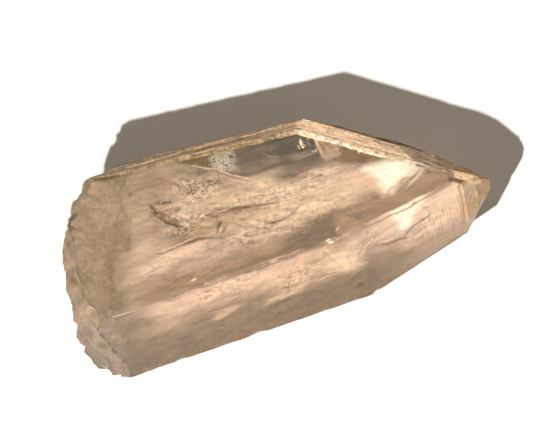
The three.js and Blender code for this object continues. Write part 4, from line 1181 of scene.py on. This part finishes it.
class QuartzStageSettings(bpy.types.PropertyGroup):
    """Floor, lights and camera."""
    floor_colour: bpy.props.FloatVectorProperty(
        name="Floor", description="Floor colour", subtype="COLOR", size=3, default=hex_linear("E9E7E4"))
    key_strength: bpy.props.FloatProperty(name="Key", description="Key lamp strength, W/m2", default=5.4)
    key_place: bpy.props.FloatVectorProperty(
        name="Key place", description="Where the key lamp stands", subtype="XYZ", unit="LENGTH", size=3,
        default=(-0.098, -0.110, 0.1885))
    key_radius: bpy.props.FloatProperty(
        name="Key radius", description="Radius of the key lamp", unit="LENGTH", default=0.0022)
    inside_share: bpy.props.FloatProperty(
        name="Inside share", description="Share of the key that reaches what is sealed in", default=0.37)
    fill_strength: bpy.props.FloatProperty(name="Fill", description="Surrounding light", default=0.285)
    camera_turn: bpy.props.FloatProperty(
        name="Camera turn", description="Turn round the part", subtype="ANGLE", default=math.radians(-19.32))
    camera_rise: bpy.props.FloatProperty(
        name="Camera rise", description="Height above the horizon", subtype="ANGLE",
        default=math.radians(68.81))
    camera_far: bpy.props.FloatProperty(
        name="Camera distance", description="From the crystal's centre", unit="LENGTH", default=0.352)


# --- Operators ----------------------------------------------------------------------------------------------
def seal_in(piece):
    """Marks a piece as one that rides with the crystal, and lists it for the lamp that reaches inside."""
    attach(piece, "root")
    listed = bpy.data.collections.get("sealed_in") or bpy.data.collections.new("sealed_in")
    listed.objects.link(piece)


class QUARTZ_OT_body(bpy.types.Operator):
    """Makes the crystal: natural faces, growth steps, worn edges and the broken base"""
    bl_idname = "quartz.body"
    bl_label = "Crystal Body"

    def execute(self, context):
        settings = context.scene.quartz_body
        planes = names, normals, outs = all_planes()
        bowls = bowl_list(normals, outs, names)
        bowls += nicks(corner_points(normals, outs), normals, outs, settings.nick_count, seed=7)
        points, faces, nearest = skin(
            planes, np.zeros(3), settings.spacing, body_reliefs, bowls, settings.worn)
        piece = add_mesh("crystal_body", to_frame(points), faces, rock_crystal(settings))
        mark(piece, "dusty", (nearest >= len(NATURAL_FACES)).astype(float))
        mark(piece, "striated", np.isin(nearest, [names.index(name) for name in STREAKED]).astype(float))
        along = points @ unit(STAIN_WAY) + 1.2 * ripple(points, 5.0, 31)
        mark(piece, "stain", np.clip((along - STAIN_FROM) / STAIN_FADE, 0, 1))
        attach(piece, "root")
        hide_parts("quartz_crystal")
        return {"FINISHED"}


class QUARTZ_OT_cloud(bpy.types.Operator):
    """Makes the milky cloud that fills the base end"""
    bl_idname = "quartz.cloud"
    bl_label = "Base Cloud"

    def execute(self, context):
        settings = context.scene.quartz_inside
        names, normals, outs = all_planes()
        bowls = [(c, m, r + CLOUD_BEHIND) for c, m, r in bowl_list(normals, outs, names)]
        inset = np.array([CLOUD_BEHIND if n in BREAK_CUTS else settings.cloud_depth for n in names])
        planes = (names + ["cloud_front"], np.vstack([normals, unit(CLOUD_FRONT[0])]),
                  np.append(outs - inset, CLOUD_FRONT[1]))
        points, faces, nearest = skin(
            planes, np.array(CLOUD_MIDDLE), CLOUD_SPACING, cloud_reliefs, bowls, CLOUD_WORN)
        piece = add_mesh("base_cloud", to_frame(points), faces, milky_quartz(settings))
        behind = CLOUD_FRONT[1] - points @ planes[1][-1] + 0.8 * ripple(points, 3.0, 23)
        cover = np.clip(behind / 2.4, 0, 1) * np.clip(0.5 + behind / 7, 0, 1)
        cover[nearest == len(names)] = 0
        mark(piece, "cover", cover)
        seal_in(piece)
        return {"FINISHED"}


class QUARTZ_OT_veils(bpy.types.Operator):
    """Makes the healed cracks that hang as veils under the faces, some with painted highlights and painted
    shade
    """
    bl_idname = "quartz.veils"
    bl_label = "Veils"

    def execute(self, context):
        settings = context.scene.quartz_inside
        haze = veil_haze_and_painted_light()
        for name, veil in VEILS.items():
            x, v, fade, points, quads = veil_surface(veil, settings.veil_spacing)
            cover, tint, speckled = cover_of(veil, x, v)
            cover = cover * fade
            kept = (cover[quads] > 0.01).any(axis=1)
            used, quads = np.unique(quads[kept], return_inverse=True)
            piece = add_mesh("veil_" + name, to_frame(points[used]), quads.reshape(-1, 4).tolist(), haze,
                             smooth="shelves" not in veil)
            mark(piece, "cover", cover[used])
            mark(piece, "speckled", speckled[used])
            mark(piece, "tint", np.insert(tint[used], 3, 1, axis=1))
            seal_in(piece)
        return {"FINISHED"}


class QUARTZ_OT_flakes(bpy.types.Operator):
    """Makes the swarms of tiny flakes and bubbles"""
    bl_idname = "quartz.flakes"
    bl_label = "Flakes"

    def execute(self, context):
        for name, (groups, colour, seed) in FLAKES.items():
            points, faces = flakes(groups, seed)
            glint = flake_glint(name + "_flakes", colour)
            seal_in(add_mesh("flakes_" + name, to_frame(points), faces.tolist(), glint, smooth=False))
        return {"FINISHED"}


class QUARTZ_OT_cracks(bpy.types.Operator):
    """Makes the open cracks with a mirror-like air gap"""
    bl_idname = "quartz.cracks"
    bl_label = "Open Cracks"

    def execute(self, context):
        points, quads, middles = zip(*(crack(*row, seed=60 + number) for number, row in enumerate(CRACKS)))
        starts = len(points[0]) * np.arange(len(CRACKS))
        quads = (np.stack(quads) + starts[:, None, None]).reshape(-1, 4)
        middles = np.stack(middles) + starts[:, None]
        faces = quads.tolist() + middles.tolist()
        seal_in(add_mesh("open_cracks", to_frame(np.concatenate(points)), faces, crack_mirror()))
        return {"FINISHED"}


class QUARTZ_OT_stage(bpy.types.Operator):
    """Makes the floor, the lamps and the camera"""
    bl_idname = "quartz.stage"
    bl_label = "Stage"

    def execute(self, context):
        settings = context.scene.quartz_stage
        scene = context.scene
        corners = [(x * FLOOR_HALF, y * FLOOR_HALF, FLOOR_HEIGHT)
                   for x, y in ((-1, -1), (1, -1), (1, 1), (-1, 1))]
        floor = add_mesh("floor", corners, [(0, 1, 2, 3)], floor_paint(settings.floor_colour), smooth=False)
        world = bpy.data.worlds.new("soft_surround")
        world.use_nodes = True
        surround = world.node_tree.nodes["Background"].inputs
        surround["Color"].default_value = (*SURROUND_COLOUR, 1)
        surround["Strength"].default_value = settings.fill_strength
        scene.world = world
        centre = Vector(to_frame([0, 0, 0]).tolist())
        for name, share in (("key", 1.0), ("key_inside", settings.inside_share)):
            lamp = bpy.data.lights.new(name, "POINT")
            lamp.shadow_soft_size = settings.key_radius
            lamp.color = LAMP_COLOUR
            # With constant falloff the lamp's power only sets a scale: 4 pi squared gives strength in W/m2.
            lamp.energy = 4 * math.pi ** 2
            lamp.use_nodes = True
            even = node(lamp.node_tree, "LightFalloff", {"Strength": share * settings.key_strength / math.pi},
                        out="Constant")
            lamp.node_tree.links.new(even, lamp.node_tree.nodes["Emission"].inputs["Strength"])
            key = bpy.data.objects.new(name, lamp)
            key.location = settings.key_place
            scene.collection.objects.link(key)
            listed = bpy.data.collections.new(name + "_lights")
            key.light_linking.receiver_collection = listed
            for piece in bpy.data.collections["sealed_in"].objects:
                listed.objects.link(piece)
            if name == "key_inside":
                key.light_linking.blocker_collection = bpy.data.collections.new("stops_inside_light")
                key.light_linking.blocker_collection.objects.link(floor)
                # This lamp's light counts as crossing the crystal's colour all the way, so its own colour
                # makes up.
                crystal = scene.quartz_body
                far = (Vector(settings.key_place) - centre).length
                lamp.color = [c * math.exp(crystal.depth_density * (1 - d) * far)
                              for c, d in zip(lamp.color, crystal.depth_colour)]
            else:
                for entry in listed.collection_objects:
                    entry.light_linking.link_state = "EXCLUDE"
        lens = bpy.data.cameras.new("camera")
        lens.sensor_width, lens.lens = SENSOR_WIDTH, LENS_LENGTH
        lens.clip_start, lens.clip_end = 0.01, 20
        camera = bpy.data.objects.new("camera", lens)
        turn, rise = settings.camera_turn, settings.camera_rise
        back = Vector((math.sin(turn) * math.cos(rise), -math.cos(turn) * math.cos(rise), math.sin(rise)))
        camera.location = centre + back * settings.camera_far
        camera.rotation_euler = (-back).to_track_quat("-Z", "Y").to_euler()
        scene.collection.objects.link(camera)
        scene.camera = camera
        scene.view_settings.view_transform = "Standard"
        scene.cycles.max_bounces = 24
        scene.cycles.transmission_bounces = 20
        scene.cycles.transparent_max_bounces = 32
        return {"FINISHED"}


class QUARTZ_PT_panel(bpy.types.Panel):
    """Lists the steps that make the crystal"""
    bl_idname = "QUARTZ_PT_panel"
    bl_label = "Quartz Crystal"
    bl_space_type = "VIEW_3D"
    bl_region_type = "UI"
    bl_category = "Quartz"

    def draw(self, context):
        for step in STEPS:
            self.layout.operator(step.bl_idname)


STEPS = (
    QUARTZ_OT_body, QUARTZ_OT_cloud, QUARTZ_OT_veils, QUARTZ_OT_flakes, QUARTZ_OT_cracks, QUARTZ_OT_stage)
SETTINGS = {
    "quartz_body": QuartzBodySettings,
    "quartz_inside": QuartzInsideSettings,
    "quartz_stage": QuartzStageSettings,
}
CLASSES = (*SETTINGS.values(), *STEPS, QUARTZ_PT_panel)


def register():
    """Registers the settings, the steps and the panel."""
    for item in CLASSES:
        bpy.utils.register_class(item)
    for name, group in SETTINGS.items():
        setattr(bpy.types.Scene, name, bpy.props.PointerProperty(type=group))


def unregister():
    """Takes away what register added."""
    for name in SETTINGS:
        delattr(bpy.types.Scene, name)
    for item in reversed(CLASSES):
        bpy.utils.unregister_class(item)


def main():
    register()
    bpy.ops.quartz.body()
    bpy.ops.quartz.cloud()
    bpy.ops.quartz.veils()
    bpy.ops.quartz.flakes()
    bpy.ops.quartz.cracks()
    bpy.ops.quartz.stage()


if __name__ == "__main__":
    main()
